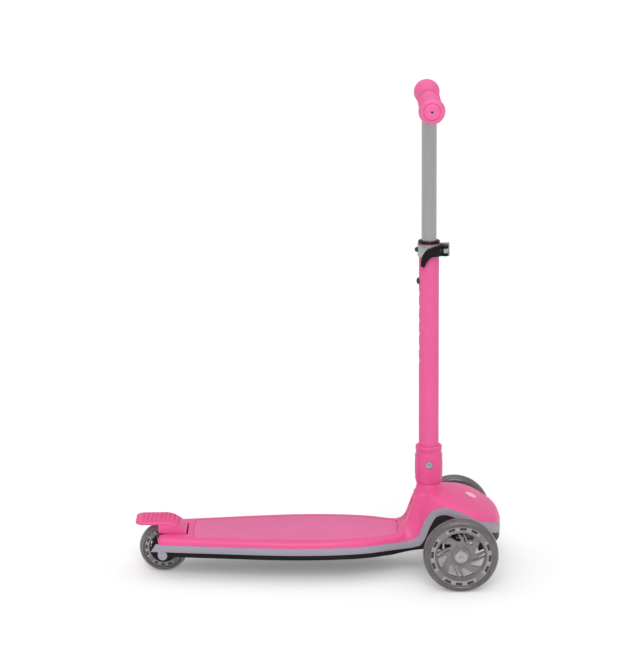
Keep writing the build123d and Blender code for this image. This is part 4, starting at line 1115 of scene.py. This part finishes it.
# Clamp, its lever and the snap button
leverPath = [
    (26.5, -10.0, 0.0, 8.5), (22.0, -11.0, 0.0, 8.5), (17.2, -13.45, 0.0, 8.5), (10.9, -18.9, -0.2, 8.3),
    (1.9, -21.8, -1.5, 7.6), (-3.8, -21.5, -6.0, 6.6), (-8.2, -20.25, -13.5, 5.2),
    (-10.9, -18.95, -24.0, 3.4),
]
leverLook = {"thick": 2.2 * mm, "edge": 1.1 * mm, "camRadius": 5.6 * mm, "camGap": 3.75 * mm,
             "camHalf": 8.5 * mm}


def clampLever():
    spine = threadThrough([(x * mm + stemX, y * mm, clampZ + z * mm) for x, y, z, w in leverPath], 6)
    widths = threadThrough([(w * mm, 0, 0) for x, y, z, w in leverPath], 6)
    rows = []
    for index, point in enumerate(spine):
        before, after = spine[max(index - 1, 0)], spine[min(index + 1, len(spine) - 1)]
        run = (after - before).normalized()
        flat = Vector((point.x - stemX, point.y, 0)).normalized()
        up = run.cross(flat).normalized()
        if up.z < 0:
            up = -up
        out = up.cross(run).normalized()
        t, w, e = leverLook["thick"], widths[index].x, leverLook["edge"]
        loop = []
        for a, b in ((t, w - e), (t - e * 0.3, w - e * 0.3), (t - e, w), (e - t, w),
                     (e * 0.3 - t, w - e * 0.3), (-t, w - e),
                     (-t, e - w), (e * 0.3 - t, e * 0.3 - w), (e - t, -w), (t - e, -w),
                     (t - e * 0.3, e * 0.3 - w), (t, e - w)):
            loop.append(tuple(point + out * a + up * b))
        rows.append(loop)
    lever = closedSkin("clampLever", rows)
    camPlace = middle("cam_pin")
    slot = leverLook["camGap"]
    for side in (1, -1):
        ring = [(1.9 * mm, slot), (5.2 * mm, slot), (leverLook["camRadius"], slot + 0.4 * mm),
                (leverLook["camRadius"], leverLook["camHalf"] - 0.7 * mm), (5.0 * mm, leverLook["camHalf"]),
                (1.9 * mm, leverLook["camHalf"])]
        cam = turned("leverCam", ring, (camPlace.x, camPlace.y, camPlace.z), "Z", 64, side)
        combine(lever, cam, "UNION")
    deselectAll()
    bpy.ops.mesh.primitive_cube_add(size=1)
    notch = bpy.context.object
    notch.data.transform(Matrix.Translation((camPlace.x + 2 * mm, camPlace.y + 4 * mm, camPlace.z))
                         @ Matrix.Diagonal((20 * mm, 24 * mm, 2 * slot, 1)))
    combine(lever, notch)
    finish(lever, "lever", "black_plastic", "clamp_lever", smoothAngle=40)


def domeOnTube(name, centre, radius, stand, shank, shankLength, body, slotName, *replaced):
    profile = [(0, stand), (radius * 0.34, stand * 0.96), (radius * 0.62, stand * 0.80),
               (radius * 0.84, stand * 0.52),
               (radius * 0.96, stand * 0.22), (radius, 0), (radius, -1.2 * mm), (shank, -1.2 * mm),
               (shank, -shankLength),
               (0, -shankLength)]
    dome = turned(name, profile, centre, "X", 48, -1)
    editAll(dome)
    bpy.ops.mesh.delete_loose()
    endEdit()
    return finish(dome, body, slotName, *replaced, smoothAngle=45)


clampLever()
softCopy("clamp_collar", "deck", "steel", 0.6 * mm)
softCopy("clamp_nut", "deck", "steel", 0.5 * mm)
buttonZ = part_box("snap_button")[1].z - 8 * mm
domeOnTube("snapButton", (stemX - 16.2 * mm, 0, buttonZ), 5.55 * mm, 3.8 * mm, 5.5 * mm, 5.6 * mm, "button",
           "black_steel", "snap_button")
domeOnTube("clampRivet", (stemX - 18.5 * mm, 0, clampZ), 4.3 * mm, 4.4 * mm, 2.35 * mm, 5.5 * mm, "deck",
           "black_steel", "clamp_rivet")
softCopy("column_bush", "deck", "black_plastic", 0.7 * mm)


# Room, light and camera
studio = {
    "floorSize": 90,
    "worldStrength": 0.55,
    "sunStrength": 1.25,
    "sunSoftness": 32,
    "sunLean": 52,
    "fillStrength": 1.05,
    "fillSoftness": 80,
    "fillLean": 8,
    "cameraPlace": (0.00312, -4.22078, 1.44224),
    "cameraTilt": 76.02,
    "cameraRoll": -0.48,
    "lens": 146.24,
}


def buildStudio():
    deselectAll()
    bpy.ops.mesh.primitive_plane_add(size=studio["floorSize"], location=(0, 0, 0))
    floor = bpy.context.object
    floor.name = "studioFloor"
    material, tree, shader, place = newMaterial("palePaper")
    mixByNoise(tree, shader, noiseAt(tree, place, 3), (0.925, 0.925, 0.925), (0.94, 0.94, 0.94))
    roughnessRange(tree, shader, noiseAt(tree, place, 20), 0.85, 0.95)
    shader.inputs["Specular IOR Level"].default_value = 0.1
    floor.data.materials.append(material)

    world = bpy.data.worlds.new("studioWorld")
    bpy.context.scene.world = world
    world.use_nodes = True
    background = world.node_tree.nodes["Background"]
    background.inputs["Color"].default_value = (1, 1, 1, 1)
    background.inputs["Strength"].default_value = studio["worldStrength"]

    lean = math.radians(studio["sunLean"])
    bpy.ops.object.light_add(type="SUN", location=(0, -1, 3), rotation=(lean, 0, 0))
    light = bpy.context.object
    light.name = "softSun"
    light.data.energy = studio["sunStrength"]
    light.data.angle = math.radians(studio["sunSoftness"])
    lean = math.radians(studio["fillLean"])
    bpy.ops.object.light_add(type="SUN", location=(0, 0, 3), rotation=(lean, 0, 0))
    fill = bpy.context.object
    fill.name = "topFill"
    fill.data.energy = studio["fillStrength"]
    fill.data.angle = math.radians(studio["fillSoftness"])
    fill.data.use_shadow = False

    bpy.ops.object.camera_add(location=studio["cameraPlace"])
    camera = bpy.context.object
    camera.data.lens = studio["lens"]
    camera.data.sensor_width = 36
    tilt = Matrix.Rotation(math.radians(studio["cameraTilt"]), 4, "X")
    roll = Matrix.Rotation(math.radians(studio["cameraRoll"]), 4, "Z")
    camera.matrix_world = Matrix.Translation(studio["cameraPlace"]) @ tilt @ roll
    bpy.context.scene.camera = camera
    bpy.context.scene.view_settings.view_transform = "Standard"
    bpy.context.scene.view_settings.look = "None"
    print("studio ready")


buildStudio()
